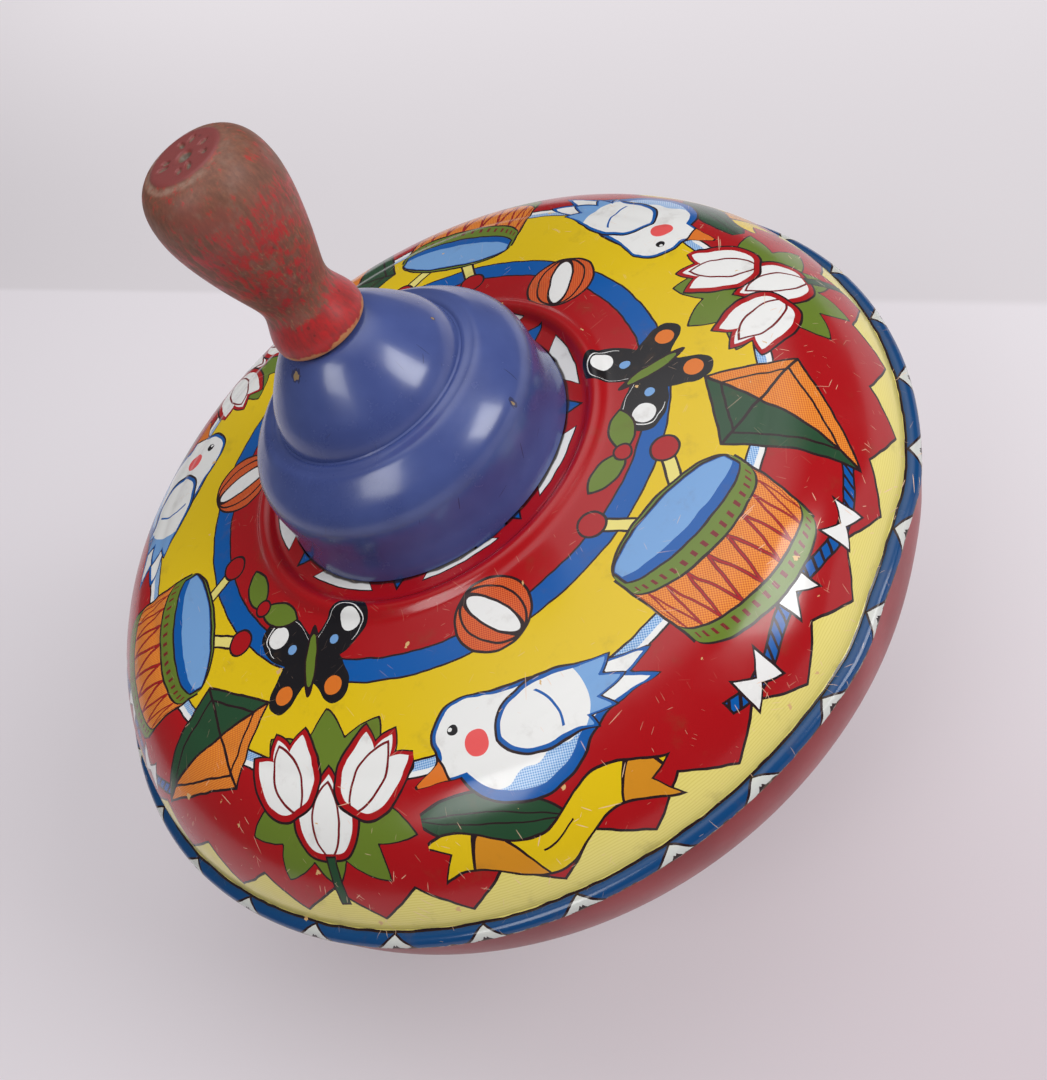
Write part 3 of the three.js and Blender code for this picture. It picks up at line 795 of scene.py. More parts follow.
def printed_tin():
    sheet = new_sheet("printed_tinplate")
    flat = sheet.print_place()
    place = sheet.wandering(flat, 5.0, 0.3)  # a printed line trembles a little
    x, y, _ = sheet.split(place)
    reach = sheet.length(place)
    angle = sheet.sum_of("ARCTAN2", y, x)
    screen = dot_screen(sheet, flat)
    light_blue = sheet.over(ink(174, 200, 226), ink(84, 138, 198), screen)
    paint = ring_grounds(sheet, reach, light_blue)
    paint = petal_ring(sheet, paint, flat, place, reach)
    tooth_part = angle * (TEETH / FULL_TURN) + TOOTH_TURN / 360 * TEETH
    zigzag = sheet.sum_of("PINGPONG", tooth_part, 0.5)
    paint = saw_teeth(sheet, paint, zigzag, reach)
    paint = rim_band(sheet, paint, zigzag, reach)
    paint = pictures(sheet, paint, angle, reach, screen, light_blue)
    paint, chip = wear(sheet, paint, flat, reach)
    smudge = sheet.grain(flat, 16, detail=4, flat=True)
    return sheet.finish(
        Base_Color=paint,
        Roughness=sheet.ramp(smudge + chip * 0.6, 0.3, 0.9, 0.17, 0.3),
        Specular_IOR_Level=0.36,
        Coat_Weight=0.15,
        Coat_Roughness=0.08,
    )


# ---------------------------------------------------------------------------
# The other finishes


def lower_paint():
    sheet = new_sheet("red_lacquer")
    place = sheet.object_place()
    clouds = sheet.grain(place, 25, detail=3)
    paint = sheet.over(ink(146, 15, 22), ink(126, 13, 21), sheet.ramp(clouds, 0.3, 0.7))
    dust = sheet.grain(place, 3, detail=5, rough=0.7)
    paint = sheet.over(paint, ink(172, 84, 80), sheet.ramp(dust, 0.6, 0.82, 0.0, 0.18))
    paint = sheet.over(paint, ink(150, 132, 112), sheet.specks(place, 9, 1.0, 0.12))
    return sheet.finish(
        Base_Color=paint,
        Roughness=sheet.ramp(clouds + dust * 0.5, 0.3, 1.1, 0.26, 0.4),
        Specular_IOR_Level=0.32,
        Coat_Weight=0.1,
        Coat_Roughness=0.15,
    )


def bell_paint():
    sheet = new_sheet("blue_lacquer")
    place = sheet.object_place()
    clouds = sheet.grain(place, 14, detail=3)
    paint = sheet.over(ink(70, 85, 142), ink(58, 72, 129), sheet.ramp(clouds, 0.3, 0.7))
    dust = sheet.grain(place, 1.6, detail=4, rough=0.7)
    paint = sheet.over(paint, ink(104, 108, 158), sheet.ramp(dust, 0.62, 0.8, 0.0, 0.25))
    x, y, z = sheet.split(place)
    # the bell's wall laid flat, for the rubbed lines
    skin = sheet.joined(sheet.sum_of("ARCTAN2", y, x) * 26.0, z * 1.3)
    rub = sheet.strokes(skin, 74, 15, 0.6, 0.035) + sheet.strokes(skin, 22, 11, 0.55, 0.02)
    paint = sheet.over(paint, ink(34, 34, 62), rub * 0.7)
    # nicks through to the metal, each in a dark ring
    ragged = sheet.wandering(place, 0.9, 0.9)
    nick = sheet.specks(ragged, 10, 0.95, 0.28)
    ring = sheet.specks(ragged, 10, 1.5, 0.28)
    paint = sheet.over(paint, ink(44, 44, 72), ring * 0.75)
    paint = sheet.over(paint, ink(152, 128, 92), nick)
    sheet.bump(-nick, 0.05)
    return sheet.finish(
        Base_Color=paint,
        Roughness=sheet.ramp(clouds + dust * 0.4, 0.4, 1.0, 0.2, 0.3),
        Specular_IOR_Level=0.5,
        Coat_Weight=0.2,
        Coat_Roughness=0.1,
    )


PAINT_SPAN = 45
# How firmly the paint has held, from the collar up: share of that span, hold, corner
PAINT_HOLD = [
    (0, 0.78, 0), (0.12, 0.68, 0), (0.2, 0.47, 0), (0.3, 0.46, 0), (0.6, 0.485, 0),
    (0.72, 0.455, 0), (0.86, 0.4, 0), (0.948, 0.42, 0), (0.953, 0.6, 1), (1, 0.6, 0),
]


def worn_red_wood():
    """Red paint rubbed through to dark wood on the grip, whole on the collar."""
    sheet = new_sheet("worn_red_wood")
    place = sheet.object_place()
    x, y, height = sheet.split(place)
    level = height - HANDLE_BASE / MM
    from_axis = sheet.length(sheet.joined(x, y))
    patches = sheet.grain(place, 4.2, detail=7, rough=0.74)
    fibres = sheet.grain(place, 0.9, detail=4, rough=0.65, stretch=(1, 1, 3.2))
    worn = patches * 0.58 + fibres * 0.42
    hold = sheet.curve(level * (1 / PAINT_SPAN), PAINT_HOLD)
    bare = sheet.ramp(worn - hold, -0.07, 0.08, 0.06, 0.94)
    red = sheet.over(ink(182, 34, 38), ink(140, 42, 42), sheet.ramp(fibres, 0.3, 0.7))
    brown = sheet.over(ink(126, 84, 64), ink(104, 70, 54), sheet.ramp(fibres, 0.3, 0.7))
    stain = sheet.grain(place, 8, detail=3)
    brown = sheet.over(brown, ink(132, 70, 60), sheet.ramp(stain, 0.42, 0.62, 0.0, 0.7))
    thread = sheet.grain(place, 0.55, detail=3, rough=0.6, stretch=(1, 1, 4))
    pale = sheet.ramp(thread, 0.52, 0.78, 0.0, 0.7) * sheet.ramp(level, 26, 35, 1.0, 0.25)
    brown = sheet.over(brown, ink(160, 122, 88), pale)
    paint = sheet.over(red, brown, bare)
    dull = sheet.grain(place, 2.5, detail=4)
    paint = sheet.over(paint, ink(128, 98, 84), sheet.ramp(dull, 0.5, 0.75, 0.0, 0.55) * bare)
    # the end face, the bottoms of the marks pressed in it, and the scuffed edge round it
    end = HANDLE_LENGTH
    face = sheet.ramp(level, end - 0.35, end - 0.15)
    paint = sheet.over(paint, ink(126, 62, 60), face * 0.92)
    pit = sheet.ramp(level, end - 0.6, end - 0.2, 1.0, 0.0) * sheet.below(from_axis, 5.8)
    paint = sheet.over(paint, ink(104, 98, 86), pit * 0.85)
    edge = sheet.ramp(abs(level - (end - 0.6)), 0.05, 0.4, 1.0, 0.0)
    scuff = edge * sheet.ramp(patches, 0.35, 0.6)
    scuff = scuff * sheet.above(from_axis, 6.2) * sheet.ramp(x, -4, 5, 0.75, 0.15)
    paint = sheet.over(paint, ink(158, 128, 112), scuff)
    # the bare edge of the collar
    collar = sheet.ramp(level + (patches - 0.5) * 3.6, 0.8, 1.3, 1.0, 0.0)
    paint = sheet.over(paint, ink(186, 128, 82), collar)
    fleck = sheet.specks(place, 2.2, 0.45, 0.3)
    paint = sheet.over(paint, ink(60, 36, 30), fleck * sheet.ramp(level, 1.0, 4.0, 0.9, 0.4))
    sheet.bump(fibres * 0.5 - bare * 0.5, 0.05)
    return sheet.finish(
        Base_Color=paint,
        Roughness=sheet.ramp(bare + fibres * 0.3, 0.1, 1.2, 0.36, 0.52),
        Specular_IOR_Level=0.42,
    )


def streaked(name, pale, dark, size, roughness, along=1.0):
    """A dull material with streaks of that size, drawn out along the axis."""
    sheet = new_sheet(name)
    streaks = sheet.grain(sheet.object_place(), size, detail=4, stretch=(1, 1, along))
    return sheet.finish(Base_Color=sheet.over(pale, dark, streaks), Roughness=roughness)


def metal(name, colour, dark, roughness, along=1.0):
    """A bare metal with clouds of tarnish and fine marks, drawn out along the axis."""
    sheet = new_sheet(name)
    place = sheet.object_place()
    tarnish = sheet.grain(place, 4, detail=3)
    fine = sheet.grain(place, 0.3, stretch=(1, 1, along))
    return sheet.finish(
        Base_Color=sheet.over(colour, dark, sheet.ramp(tarnish, 0.35, 0.8)),
        Metallic=1.0,
        Roughness=sheet.ramp(fine, 0.2, 0.8, roughness * 0.8, roughness * 1.25, smooth=False),
    )


FINISHES = {
    "upper_print": printed_tin(),
    "lower_paint": lower_paint(),
    "bell_paint": bell_paint(),
    "handle_wood": worn_red_wood(),
    "foot_wood": streaked("bare_wood", ink(196, 158, 108), ink(158, 116, 70), 0.8, 0.6, 12),
    "strip_steel": metal("bright_strip_steel", ink(190, 190, 188), ink(140, 136, 130), 0.28, 8),
    "plain_steel": metal("pressed_steel", ink(172, 170, 166), ink(120, 114, 106), 0.38),
    "rivet_steel": metal("rivet_steel", ink(180, 178, 174), ink(126, 120, 112), 0.32),
    "brass": metal("turned_brass", ink(206, 170, 96), ink(150, 116, 60), 0.3),
    "fibre": streaked("pressed_fibre", ink(112, 74, 48), ink(70, 44, 30), 0.5, 0.7),
}


# ---------------------------------------------------------------------------
# Metalwork and turning


def contour(points, level=RIM_LEVEL):
    """The side view of a turned piece: its (radius, height) points above a level in metres."""
    return [Vector((radius * MM, 0, level + height * MM)) for radius, height in points]


def quarter(centre, reach, rise, fullness, steps):
    """A quarter superellipse round a centre, from its side to its top or bottom."""
    points = []
    for step in range(steps + 1):
        angle = math.pi / 2 * step / steps
        across = reach * max(math.cos(angle), 0) ** (2 / fullness)
        up = rise * math.sin(angle) ** (2 / fullness)
        points.append((centre[0] + across, centre[1] + up))
    return points


def eased(points, rounds):
    """A line with its corners cut, again and again, until they are round."""
    for _ in range(rounds):
        cut = [points[0]]
        for a, b in zip(points, points[1:]):
            cut.append(a.lerp(b, 0.25))
            cut.append(a.lerp(b, 0.75))
        points = cut + [points[-1]]
    return points


def run_of(points):
    """The length along a line at each of its points, in metres."""
    lengths = [0.0]
    for a, b in zip(points, points[1:]):
        lengths.append(lengths[-1] + (b - a).length)
    return lengths


def evened(points, spacing):
    """The same line with points at an even spacing."""
    lengths = run_of(points)
    count = max(2, round(lengths[-1] / (spacing * MM)))
    result, j = [], 0
    for i in range(count + 1):
        goal = lengths[-1] * i / count
        while j < len(points) - 2 and lengths[j + 1] < goal:
            j += 1
        span = max(lengths[j + 1] - lengths[j], 1e-12)
        result.append(points[j].lerp(points[j + 1], min(1, (goal - lengths[j]) / span)))
    return result


def spun(bm, profile, steps, layer=None, values=()):
    """Spins a contour a full turn round the axis. A layer keeps one value for each point."""
    corners = [bm.verts.new(point) for point in profile]
    for corner, value in zip(corners, values):
        corner[layer] = value
    edges = [bm.edges.new(pair) for pair in zip(corners, corners[1:])]
    bmesh.ops.spin(
        bm,
        geom=corners + edges,
        cent=(0, 0, 0),
        axis=(0, 0, 1),
        angle=FULL_TURN,
        steps=steps,
        use_merge=True,
    )
    bmesh.ops.remove_doubles(bm, verts=bm.verts[:], dist=0.002 * MM)


def thickened(bm, upwards, holes=None):
    """Turns an open shell's faces outwards, cuts its holes and gives it the sheet's gauge."""
    bmesh.ops.recalc_face_normals(bm, faces=bm.faces[:])
    if (sum(face.normal.z for face in bm.faces) > 0) != upwards:
        bmesh.ops.reverse_faces(bm, faces=bm.faces[:])
    if holes:
        cut = [face for face in bm.faces if holes(face.calc_center_median())]
        bmesh.ops.delete(bm, geom=cut, context="FACES")
    bmesh.ops.solidify(bm, geom=bm.faces[:], thickness=SHEET * MM)


def piece(name, bm, body, slot, node, sharp=35):
    """Makes a bmesh the finished piece that stands for a piece of the frame."""
    mesh = bpy.data.meshes.new(name)
    bm.to_mesh(mesh)
    bm.free()
    made = bpy.data.objects.new(name, mesh)
    bpy.context.scene.collection.objects.link(made)
    for polygon in mesh.polygons:
        polygon.use_smooth = True
    mesh.set_sharp_from_angle(angle=math.radians(sharp))
    mesh.materials.append(FINISHES[slot])
    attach(made, body)
    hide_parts(node)


def solid_piece(name, bm, body, slot, node, sharp=35):
    """A piece whose surface closes on itself, with its faces turned outwards."""
    bmesh.ops.recalc_face_normals(bm, faces=bm.faces[:])
    piece(name, bm, body, slot, node, sharp)


def turned_piece(name, profile, steps, body, slot, node, sharp=35, middle=(0, 0)):
    """A solid turned piece: its contour starts and ends on the axis, or meets itself."""
    bm = bmesh.new()
    spun(bm, profile, steps)
    bmesh.ops.translate(bm, verts=bm.verts[:], vec=(*middle, 0))
    solid_piece(name, bm, body, slot, node, sharp)


def angle_of(point):
    return math.degrees(math.atan2(point.y, point.x))


def radius_of(point):
    return math.hypot(point.x, point.y) / MM


def between_angles(a, b):
    """The smaller angle between two directions."""
    return abs((a - b + 180) % 360 - 180)


def soft_step(value, full, none):
    """1 up to `full`, falling smoothly to 0 at `none`."""
    t = min(1, max(0, (none - value) / (none - full)))
    return t * t * (3 - 2 * t)


def draw_in(vert, share):
    """Moves a corner towards the axis, to a share of its radius."""
    vert.co.x *= share
    vert.co.y *= share


# Upper shell

SHELL_STEPS = 256
LUG_COUNT = 4
SLOT_INNER = 33.2  # the slots for the bell's lugs
SLOT_OUTER = 34.2
SLOT_HALF_ANGLE = 6.4
DENT_ANGLE = -55  # where the rim has been knocked in
DENT_DEPTH = 1.5
RIM_WAVE = 0.25  # how far use has pushed the rim in and the deck up and down
DECK_WAVE = 0.22
RIM_ZONE = (84, 99)  # the rim's dent and wave grow over this stretch of radii
WAVE_STARTS = (44, 60)  # the deck's wave grows from the ring bead out, and dies at the rim
WAVE_STOPS = (88, 96)


def rim_dent(turn):
    """How far the rim is knocked in at an angle."""
    return DENT_DEPTH * soft_step(between_angles(turn, DENT_ANGLE), 3, 13)


def upper_outline():
    bead = [
        (99.55, -RIM_EDGE_DROP), (99.9, -0.45), (RIM_RADIUS, 0), (99.92, 0.5), (99.6, 1.05),
        (99.05, 1.5), (98.35, 1.75), (97.65, 1.75), (97.15, 1.5),
    ]
    shoulder = quarter((76.3, 1.45), 20.75, 21.95, 1.55, 22)
    deck = [
        (75.4, 23.5), (73.3, 24.4), (71, 24.8), (65, 25.7), (56, 26.6), (50, 27.3),
        (45.5, 27.75),
    ]
    ring_bead = [
        (43.9, 27.95), (43, 28.3), (42.2, 29.15), (41.3, 29.62), (40.8, 29.7), (40.3, 29.62),
        (39.4, 29.15), (38.6, 28.3), (38, 27.85), (37.2, 27.8),
    ]
    floor = [(SLOT_OUTER, 27.8), (SLOT_INNER, 27.8), (22, 27.8), (8.4, 27.8)]
    face = eased(contour(bead + shoulder + deck + ring_bead), 2)
    return evened(face, 0.75) + contour(floor)


def weather(bm):
    """Knocks in the rim at the dent and gives rim and deck the slight waves of thin sheet."""
    for vert in bm.verts:
        radius = radius_of(vert.co)
        if radius > WAVE_STARTS[0]:
            near_rim = 1 - soft_step(radius, *RIM_ZONE)
            dent = rim_dent(angle_of(vert.co)) * near_rim
            wave = RIM_WAVE * (noise.noise(vert.co * 28) + 1) * near_rim
            sink = DECK_WAVE * noise.noise(vert.co * 33 + Vector((3, 1, 2)))
            on_deck = (1 - soft_step(radius, *WAVE_STARTS)) * soft_step(radius, *WAVE_STOPS)
            draw_in(vert, 1 - (dent + wave) / radius)
            vert.co.z += sink * MM * on_deck


def in_lug_slot(point):
    turns = [between_angles(angle_of(point), 360 * i / LUG_COUNT) for i in range(LUG_COUNT)]
    return SLOT_INNER < radius_of(point) < SLOT_OUTER and min(turns) < SLOT_HALF_ANGLE


def lay_print(bm, lay):
    """Lays the printed sheet on the shell by the angle and by the length along the steel."""
    flat = bm.loops.layers.uv.new("print")
    for face in bm.faces:
        for loop in face.loops:
            vert = loop.vert
            radius = math.hypot(vert.co.x, vert.co.y)
            loop[flat].uv = (
                vert[lay] * MM * vert.co.x / radius,
                vert[lay] * MM * vert.co.y / radius,
            )


def upper_shell():
    bm = bmesh.new()
    lay = bm.verts.layers.float.new("lay")
    profile = upper_outline()
    # the length along the sheet, set so that the foot of the ring bead keeps its own radius
    lengths = [length / MM for length in run_of(profile)]
    bead = RINGS["bead"]
    foot = min(range(len(profile)), key=lambda i: abs(profile[i].x - bead * MM))
    spun(bm, profile, SHELL_STEPS, lay, [bead + lengths[foot] - length for length in lengths])
    weather(bm)
    thickened(bm, upwards=True, holes=in_lug_slot)
    lay_print(bm, lay)
    piece("upper_shell_tin", bm, "top_body", "upper_print", "upper_shell")


# Lower shell

BOWL_STEPS = 240
SEAM_RADIUS = 98.5  # the wall inside the rim
KEEL_RADIUS = 16  # the bowl's flat floor
KEEL_HEIGHT = -53  # from the rim's level
RIVETS = 3
RIVET_REACH = 12.05
RIVET_HOLE = 1.25  # radius
KEEL_STEP = 0.3  # the flat floor is ringed this finely, so that the rivets' holes come out round


def rivet_middle(index):
    low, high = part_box(f"socket_rivet_{index + 1}")
    return ((low + high) / 2).xy


RIVET_MIDDLES = [rivet_middle(index) for index in range(RIVETS)]


def in_rivet_hole(point):
    gaps = [(point.xy - middle).length for middle in RIVET_MIDDLES]
    return point.z < KEEL_LEVEL + MM and min(gaps) < RIVET_HOLE * MM


def lower_shell():
    rim = [(98.3, 0.9), (98.45, 0.7), (SEAM_RADIUS, 0.3)]
    middle = (KEEL_RADIUS, -RIM_EDGE_DROP)
    bowl = quarter(middle, SEAM_RADIUS - KEEL_RADIUS, KEEL_HEIGHT + RIM_EDGE_DROP, 2.15, 40)
    keel = [(RIVET_REACH + KEEL_STEP * step, KEEL_HEIGHT) for step in range(4, -5, -1)]
    mouth = [(9.2, KEEL_HEIGHT), (8.5, KEEL_HEIGHT), (8.05, -52.85), (7.9, -52.5)]
    bm = bmesh.new()
    profile = contour(rim) + evened(contour(bowl), 1.2) + contour(keel + mouth)
    spun(bm, profile, BOWL_STEPS)
    for vert in bm.verts:
        near_rim = 1 - soft_step((vert.co.z - RIM_LEVEL) / MM, -20, -3)
        draw_in(vert, 1 - rim_dent(angle_of(vert.co)) * near_rim / SEAM_RADIUS)
    thickened(bm, upwards=False, holes=in_rivet_hole)
    piece("lower_shell_tin", bm, "top_body", "lower_paint", "lower_shell")


# Bell

BELL_STEPS = 180
BELL_FOOT = (33.9, 28.1)
LUG_HALF_ANGLE = 6.1
# Down through the slot in the deck and inwards under it
LUG_PATH = (
    (33.9, 27.6), (33.9, 27.25), (33.82, 26.95), (33.6, 26.76),
    (33.3, 26.7), (32.0, 26.7), (30.9, 26.7), (29.95, 26.7),
)


def bell_outline():
    wall = [
        BELL_FOOT, (33.75, 29.2), (33.35, 31.2), (32.85, 34), (32.75, 37), (32.75, 39.6),
        (32.55, 42), (31.9, 44.3), (30.6, 46.4), (28.8, 48.3), (27, 49.9), (25.7, 51),
    ]
    cap_seat = [
        (24.7, 51.5), (23.9, 51.45), (23.3, 51.6), (22.6, 51.95), (22, 51.9), (21.5, 51.6),
        (21.3, 51.7), (21.15, 52.3),
    ]
    cap = [
        (20.95, 53.2), (20.4, 54.8), (19.4, 56.9), (18, 58.9), (16, 61.4), (14, 63.7),
        (12, 65.7), (10.4, 67), (9.2, 67.8), (8, 68.1),
    ]
    bush_hole = [(4.33, 68.1)]
    return evened(eased(contour(wall + cap_seat + cap), 3), 0.55) + contour(bush_hole)


def fold_lugs(bm):
    """Draws tabs out of the bell's lower edge, for its own slots in the deck."""
    low = min(vert.co.z for vert in bm.verts)
    rim = [
        edge
        for edge in bm.edges
        if edge.is_boundary and all(vert.co.z < low + 0.01 * MM for vert in edge.verts)
    ]
    for index in range(LUG_COUNT):
        middle = 360 * index / LUG_COUNT
        edges = [
            edge
            for edge in rim
            if all(between_angles(angle_of(v.co), middle) < LUG_HALF_ANGLE for v in edge.verts)
        ]
        for radius, height in LUG_PATH:
            drawn = bmesh.ops.extrude_edge_only(bm, edges=edges)["geom"]
            edges = [item for item in drawn if isinstance(item, bmesh.types.BMEdge)]
            for vert in {vert for edge in edges for vert in edge.verts}:
                draw_in(vert, radius / radius_of(vert.co))
                vert.co.z = RIM_LEVEL + height * MM


def bell():
    bm = bmesh.new()
    spun(bm, bell_outline(), BELL_STEPS)
    fold_lugs(bm)
    thickened(bm, upwards=True)
    piece("bell_cover", bm, "top_body", "bell_paint", "bell")


# Bush

BUSH_BORE = 3.13  # radii
BUSH_BARREL = 4.03
BUSH_FLANGE_THICKNESS = 0.4


def bell_bush():
    """A brass bush with its upper flange rolled over the hole in the bell's top."""
    low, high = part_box("bell_bush")
    flange, top = high.x / MM, (high.z - low.z) / MM
    bore, barrel, thick = BUSH_BORE, BUSH_BARREL, BUSH_FLANGE_THICKNESS
    profile = [
        (bore, 0.15), (3.3, 0), (flange - 0.15, 0), (flange, 0.2), (flange - 0.1, thick),
        (barrel, thick), (barrel, top - thick), (flange - 0.1, top - thick),
        (flange, top - 0.25), (flange - 0.2, top - 0.05), (flange - 0.6, top),
        (3.6, top), (3.3, top - 0.08), (bore, top - 0.3), (bore, 0.15),
    ]
    ring = contour(profile, low.z)
    turned_piece("bell_bush_turned", ring, 96, "top_body", "brass", "bell_bush")


# Handle

HANDLE_STEPS = 128
STRIP_BORE = 2.83  # radius
STRIP_BORE_TOP = 24
COLLAR_BORE = 6.63  # a shallow recess under the collar
SPUR_REACH = 4.1  # from the middle: the marks of the lathe's drive spurs
SPUR_COUNT = 8
SPUR_LENGTH = 1.25
SPUR_WIDTH = 0.72
SPUR_DEPTH = 0.6


def handle_outline():
    collar = [(8.9, 0), (9.45, 0.05), (9.75, 0.4), (9.85, 1.4), (9.8, 2.5), (9.45, 3.7)]
    waist = [(8.7, 5.5), (7.9, 7.5), (7.6, 9.1), (7.75, 10.9), (8.3, 12.9)]
    flank = [(9.15, 15.5), (10.1, 18.5), (10.95, 21.6), (11.75, 24.9), (12.4, 28.1), (12.8, 31.5)]
    crown = [
        (12.8, 33.9), (12.5, 36.6), (11.8, 38.9), (10.6, 40.8), (9.2, 41.95), (8.5, 42.25),
        (8, 42.25), (7.5, 42.6), (6.9, 42.9), (6.4, HANDLE_LENGTH),
    ]
    end = [(6, HANDLE_LENGTH), (1.75, HANDLE_LENGTH), (1.3, 42.6), (0.8, 41.8), (0, 41.6)]
    inside = [
        (0, STRIP_BORE_TOP), (STRIP_BORE, STRIP_BORE_TOP), (STRIP_BORE, 0.4),
        (COLLAR_BORE, 0.4), (COLLAR_BORE, 0),
    ]
    grip = eased(contour(collar + waist + flank + crown, HANDLE_BASE), 3)
    face = evened(contour(end, HANDLE_BASE), 0.3)
    return contour(inside, HANDLE_BASE) + evened(grip, 0.4) + face


def press_spurs(bm):
    """Presses a ring of small radial dents into the end of the handle."""
    top = HANDLE_BASE + HANDLE_LENGTH * MM
    face = [vert for vert in bm.verts if abs(vert.co.z - top) < 0.02 * MM]
    for index in range(SPUR_COUNT):
        # no two marks are quite alike
        turn = FULL_TURN * (index + 0.28 * math.sin(index * 2.7)) / SPUR_COUNT
        reach = SPUR_REACH + 0.35 * math.sin(index * 1.9)
        skew = turn + 0.3 * math.sin(index * 4.1)
        length = SPUR_LENGTH + 0.35 * math.sin(index * 3.3)
        middle = Vector((reach * math.cos(turn), reach * math.sin(turn)))
        along = Vector((math.cos(skew), math.sin(skew)))
        across = Vector((-along.y, along.x))
        for vert in face:
            away = vert.co.xy / MM - middle
            far = math.hypot(away.dot(along) / length, away.dot(across) / SPUR_WIDTH)
            vert.co.z -= SPUR_DEPTH * soft_step(far, 0.4, 1.0) * MM


def handle():
    bm = bmesh.new()
    spun(bm, handle_outline(), HANDLE_STEPS)
    press_spurs(bm)
    solid_piece("handle_grip", bm, "plunger", "handle_wood", "handle", sharp=50)


# Drive strip

STRIP_WIDTH = 4.8
STRIP_THICKNESS = 1.6
STRIP_LEAD = 30  # height of one full turn, left-handed
STRIP_EDGE = 0.22  # its drawn edges are a little round
STRIP_TURN_STEP = 4
STRIP_HEAD_THICKNESS = 1.2


def drive_strip():
    """A steel strip twisted cold, with an upset head at its lower end."""
    low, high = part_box("drive_rod")
    height = (high.z - low.z) / MM
    wide, thin = STRIP_WIDTH / 2, STRIP_THICKNESS / 2
    turn = -FULL_TURN * low.z / MM / STRIP_LEAD
    bm = bmesh.new()
    section = bmesh.ops.create_grid(bm, x_segments=6, y_segments=1, size=1.0)["verts"]
    for vert in section:
        vert.co = Vector((vert.co.x * wide * MM, vert.co.y * thin * MM, low.z))
    bmesh.ops.dissolve_faces(bm, faces=bm.faces[:], use_verts=False)
    corners = [v for v in bm.verts if abs(v.co.x) > (wide - 0.01) * MM]
    bmesh.ops.bevel(
        bm,
        geom=corners,
        offset=STRIP_EDGE * MM,
        offset_type="OFFSET",
        affect="VERTICES",
        segments=3,
        profile=0.5,
        material=-1,
    )
    bmesh.ops.rotate(bm, verts=bm.verts[:], cent=(0, 0, 0), matrix=Matrix.Rotation(turn, 3, "Z"))
    turns = height / STRIP_LEAD
    steps = math.ceil(turns * 360 / STRIP_TURN_STEP)
    bmesh.ops.spin(
        bm,
        geom=bm.verts[:] + bm.edges[:] + bm.faces[:],
        cent=(0, 0, 0),
        axis=(0, 0, 1),
        dvec=(0, 0, height * MM / steps),
        angle=-FULL_TURN * turns,
        steps=steps,
    )
    head, thick = high.x / MM, STRIP_HEAD_THICKNESS
    head_side = [
        (0, 0), (head - 0.3, 0), (head, 0.3), (head, thick - 0.3), (head - 0.3, thick), (0, thick),
    ]
    spun(bm, contour(head_side, low.z), 64)
    solid_piece("drive_strip_twisted", bm, "plunger", "strip_steel", "drive_rod", sharp=40)


# Foot, and the rivets of its socket

SCORED_LINES = (14.0, 16.2)  # heights above the foot's tip
SCORE_DEPTH = 0.28
PIN_BORE = 1.8  # radius
PIN_DEPTH = 12.3
SHANK_RADIUS = 1.0
RIVET_HEAD_THICKNESS = 0.8


def foot():
    """A turned hardwood peg with two scored lines and a bore for its pin."""
    low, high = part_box("foot")
    top, radius = (high.z - low.z) / MM, high.x / MM
    profile = [(0, 0), (radius - 1.35, 0), (radius - 1.08, 0.08)]
    profile += quarter((radius - 1, 10), 1, -9.7, 2, 24)[::-1]
    for line in SCORED_LINES:
        profile += [
            (radius, line - 0.35), (radius - SCORE_DEPTH, line - 0.1),
            (radius - SCORE_DEPTH, line + 0.1), (radius, line + 0.35),
        ]
    profile += [
        (radius, top - 0.5), (radius - 0.5, top), (PIN_BORE + 0.2, top), (PIN_BORE, top - 0.2),
        (PIN_BORE, top - PIN_DEPTH), (0, top - PIN_DEPTH),
    ]
    peg = contour(profile, low.z)
    turned_piece("foot_peg", peg, 96, "stand", "foot_wood", "foot", sharp=30)


def rivet(index):
    """A pan-headed rivet, closed over inside the shell."""
    name = f"socket_rivet_{index + 1}"
    low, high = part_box(name)
    head, top = (high.y - low.y) / 2 / MM, (high.z - low.z) / MM
    thick = RIVET_HEAD_THICKNESS
    profile = [
        (0, 0), (head * 0.45, 0.04), (head * 0.8, 0.25), (head * 0.97, 0.55), (head, thick),
        (SHANK_RADIUS, thick), (SHANK_RADIUS, top - thick), (head, top - thick),
        (head * 0.93, top - 0.4), (head * 0.6, top - 0.08), (0, top),
    ]
    turned_piece(
        f"{name}_headed",
        contour(profile, low.z),
        32,
        "top_body",
        "rivet_steel",
        name,
        sharp=40,
        middle=RIVET_MIDDLES[index],
    )


upper_shell()
lower_shell()
bell()
bell_bush()
handle()
drive_strip()
foot()
for index in range(RIVETS):
    rivet(index)

# The frame's pieces take the same finishes, which those that aren't replaced show
for part in frame["record"]["subparts"]:
    node = frame["nodes"][part["node"]]
    node.data.materials.clear()
    node.data.materials.append(FINISHES[part["material_slot"]])


# ---------------------------------------------------------------------------
# Floor and lamps

FLOOR_RADIUS = 3000
BACK_EDGE_TURN = 33.5  # the way that the back edge of the table top faces
BACK_EDGE_REACH = 138.7
RAYS_THAT_SEE = ("Camera", "Glossy", "Transmission")
LAMP_DISTANCE = 1600
LAMP_AIM = 20  # above the rim's level


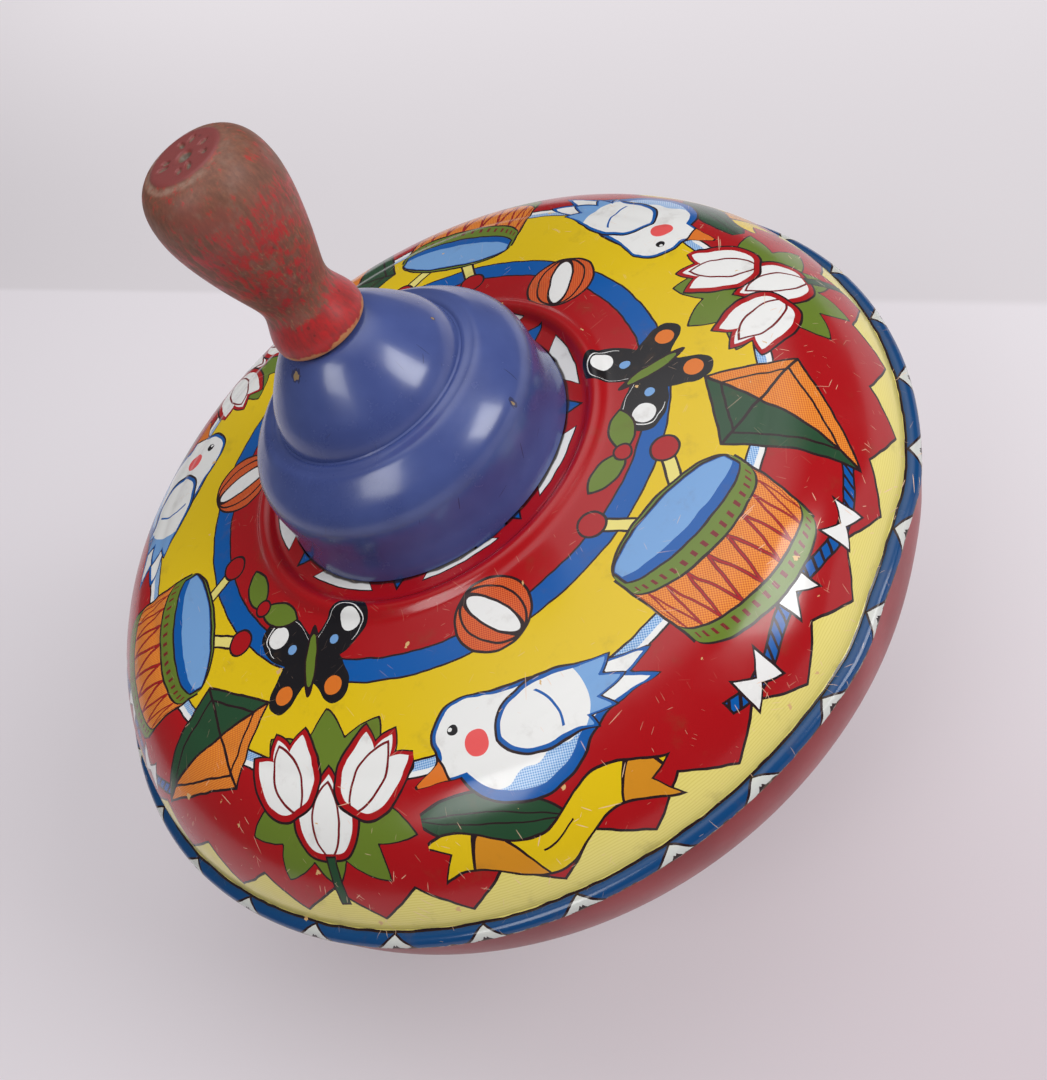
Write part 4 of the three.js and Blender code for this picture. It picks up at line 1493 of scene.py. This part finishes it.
def floor_finish():
    """Pale paint with painted shade, and a glow of its own tone where it is seen, which lightens
    shadows: more to the right.
    """
    sheet = new_sheet("pale_floor")
    place = sheet.object_place()
    x, _, _ = sheet.split(place)
    beyond = half_plane(sheet, place, BACK_EDGE_TURN, BACK_EDGE_REACH)
    # painted shadow round the top: darker and pinker towards +x, lightening further back
    near_painted_shadow = sheet.over(ink(220, 214, 219), ink(201, 187, 194), sheet.ramp(x, -120, 60))
    paint = sheet.over(near_painted_shadow, ink(231, 226, 231), sheet.ramp(beyond, -300, -5))
    # painted shade: a darker band at the back edge, lightening again beyond it
    paint = sheet.over(paint, ink(219, 214, 218), sheet.ramp(beyond, -2, 2))
    paint = sheet.over(paint, ink(242, 237, 241), sheet.ramp(beyond, 10, 300))
    sheet.finish(Base_Color=paint, Roughness=0.8, Specular_IOR_Level=0.2)
    # painted light: where the floor is seen it glows with its own tone, which lightens the top's
    # shadow on it, more to the right
    tone = sheet.node("ShaderNodeEmission", {"Color": paint}).outputs[0]
    ray = sheet.node("ShaderNodeLightPath").outputs
    seen = sheet.largest(*[Field(sheet, ray[f"Is {kind} Ray"]) for kind in RAYS_THAT_SEE])
    share = sheet.ramp(x, -170, 95, 0.14, 0.6)
    inputs = {0: seen * share, 1: sheet.shader.outputs[0], 2: tone}
    mixed = sheet.node("ShaderNodeMixShader", inputs).outputs[0]
    sheet.feed(sheet.tree.nodes["Material Output"].inputs["Surface"], mixed)
    return sheet.owner


def make_floor():
    """A round table top."""
    bm = bmesh.new()
    bmesh.ops.create_circle(bm, cap_ends=True, segments=96, radius=FLOOR_RADIUS * MM)
    mesh = bpy.data.meshes.new("floor")
    bm.to_mesh(mesh)
    bm.free()
    floor = bpy.data.objects.new("floor", mesh)
    mesh.materials.append(floor_finish())
    bpy.context.scene.collection.objects.link(floor)


def make_lamp(name, toward, width, height, power):
    """A soft box that faces the top from a direction. Its width and height are in metres."""
    middle = Vector((0, 0, RIM_LEVEL + LAMP_AIM * MM))
    lamp = bpy.data.lights.new(name, "AREA")
    lamp.shape = "RECTANGLE"
    lamp.size = width
    lamp.size_y = height
    lamp.energy = power
    holder = bpy.data.objects.new(name, lamp)
    holder.location = middle + Vector(toward).normalized() * LAMP_DISTANCE * MM
    holder.rotation_mode = "QUATERNION"
    holder.rotation_quaternion = (holder.location - middle).to_track_quat("Z", "Y")
    bpy.context.scene.collection.objects.link(holder)


def make_world():
    """A dim room with a soft bright ceiling."""
    room = Sheet(bpy.data.worlds.new("studio"), "Background")
    direction = room.node("ShaderNodeTexCoord").outputs["Generated"]
    ceiling = Vector((0.3, 0.2, 0.93)).normalized()
    height = room.ramp(room.measure("DOT_PRODUCT", direction, ceiling), 0.74, 1.0)
    glow = room.over((0.13, 0.127, 0.13, 1), (1.82, 1.8, 1.82, 1), height)
    bpy.context.scene.world = room.finish(Color=glow, Strength=1.0)


make_floor()
make_world()
make_lamp("right_box", (0.66, -0.56, 0.5), 0.7, 0.76, 14.5)
make_lamp("left_box", (-0.47, -0.36, 0.8), 0.66, 0.66, 8.2)

bpy.context.scene.view_settings.view_transform = "Standard"
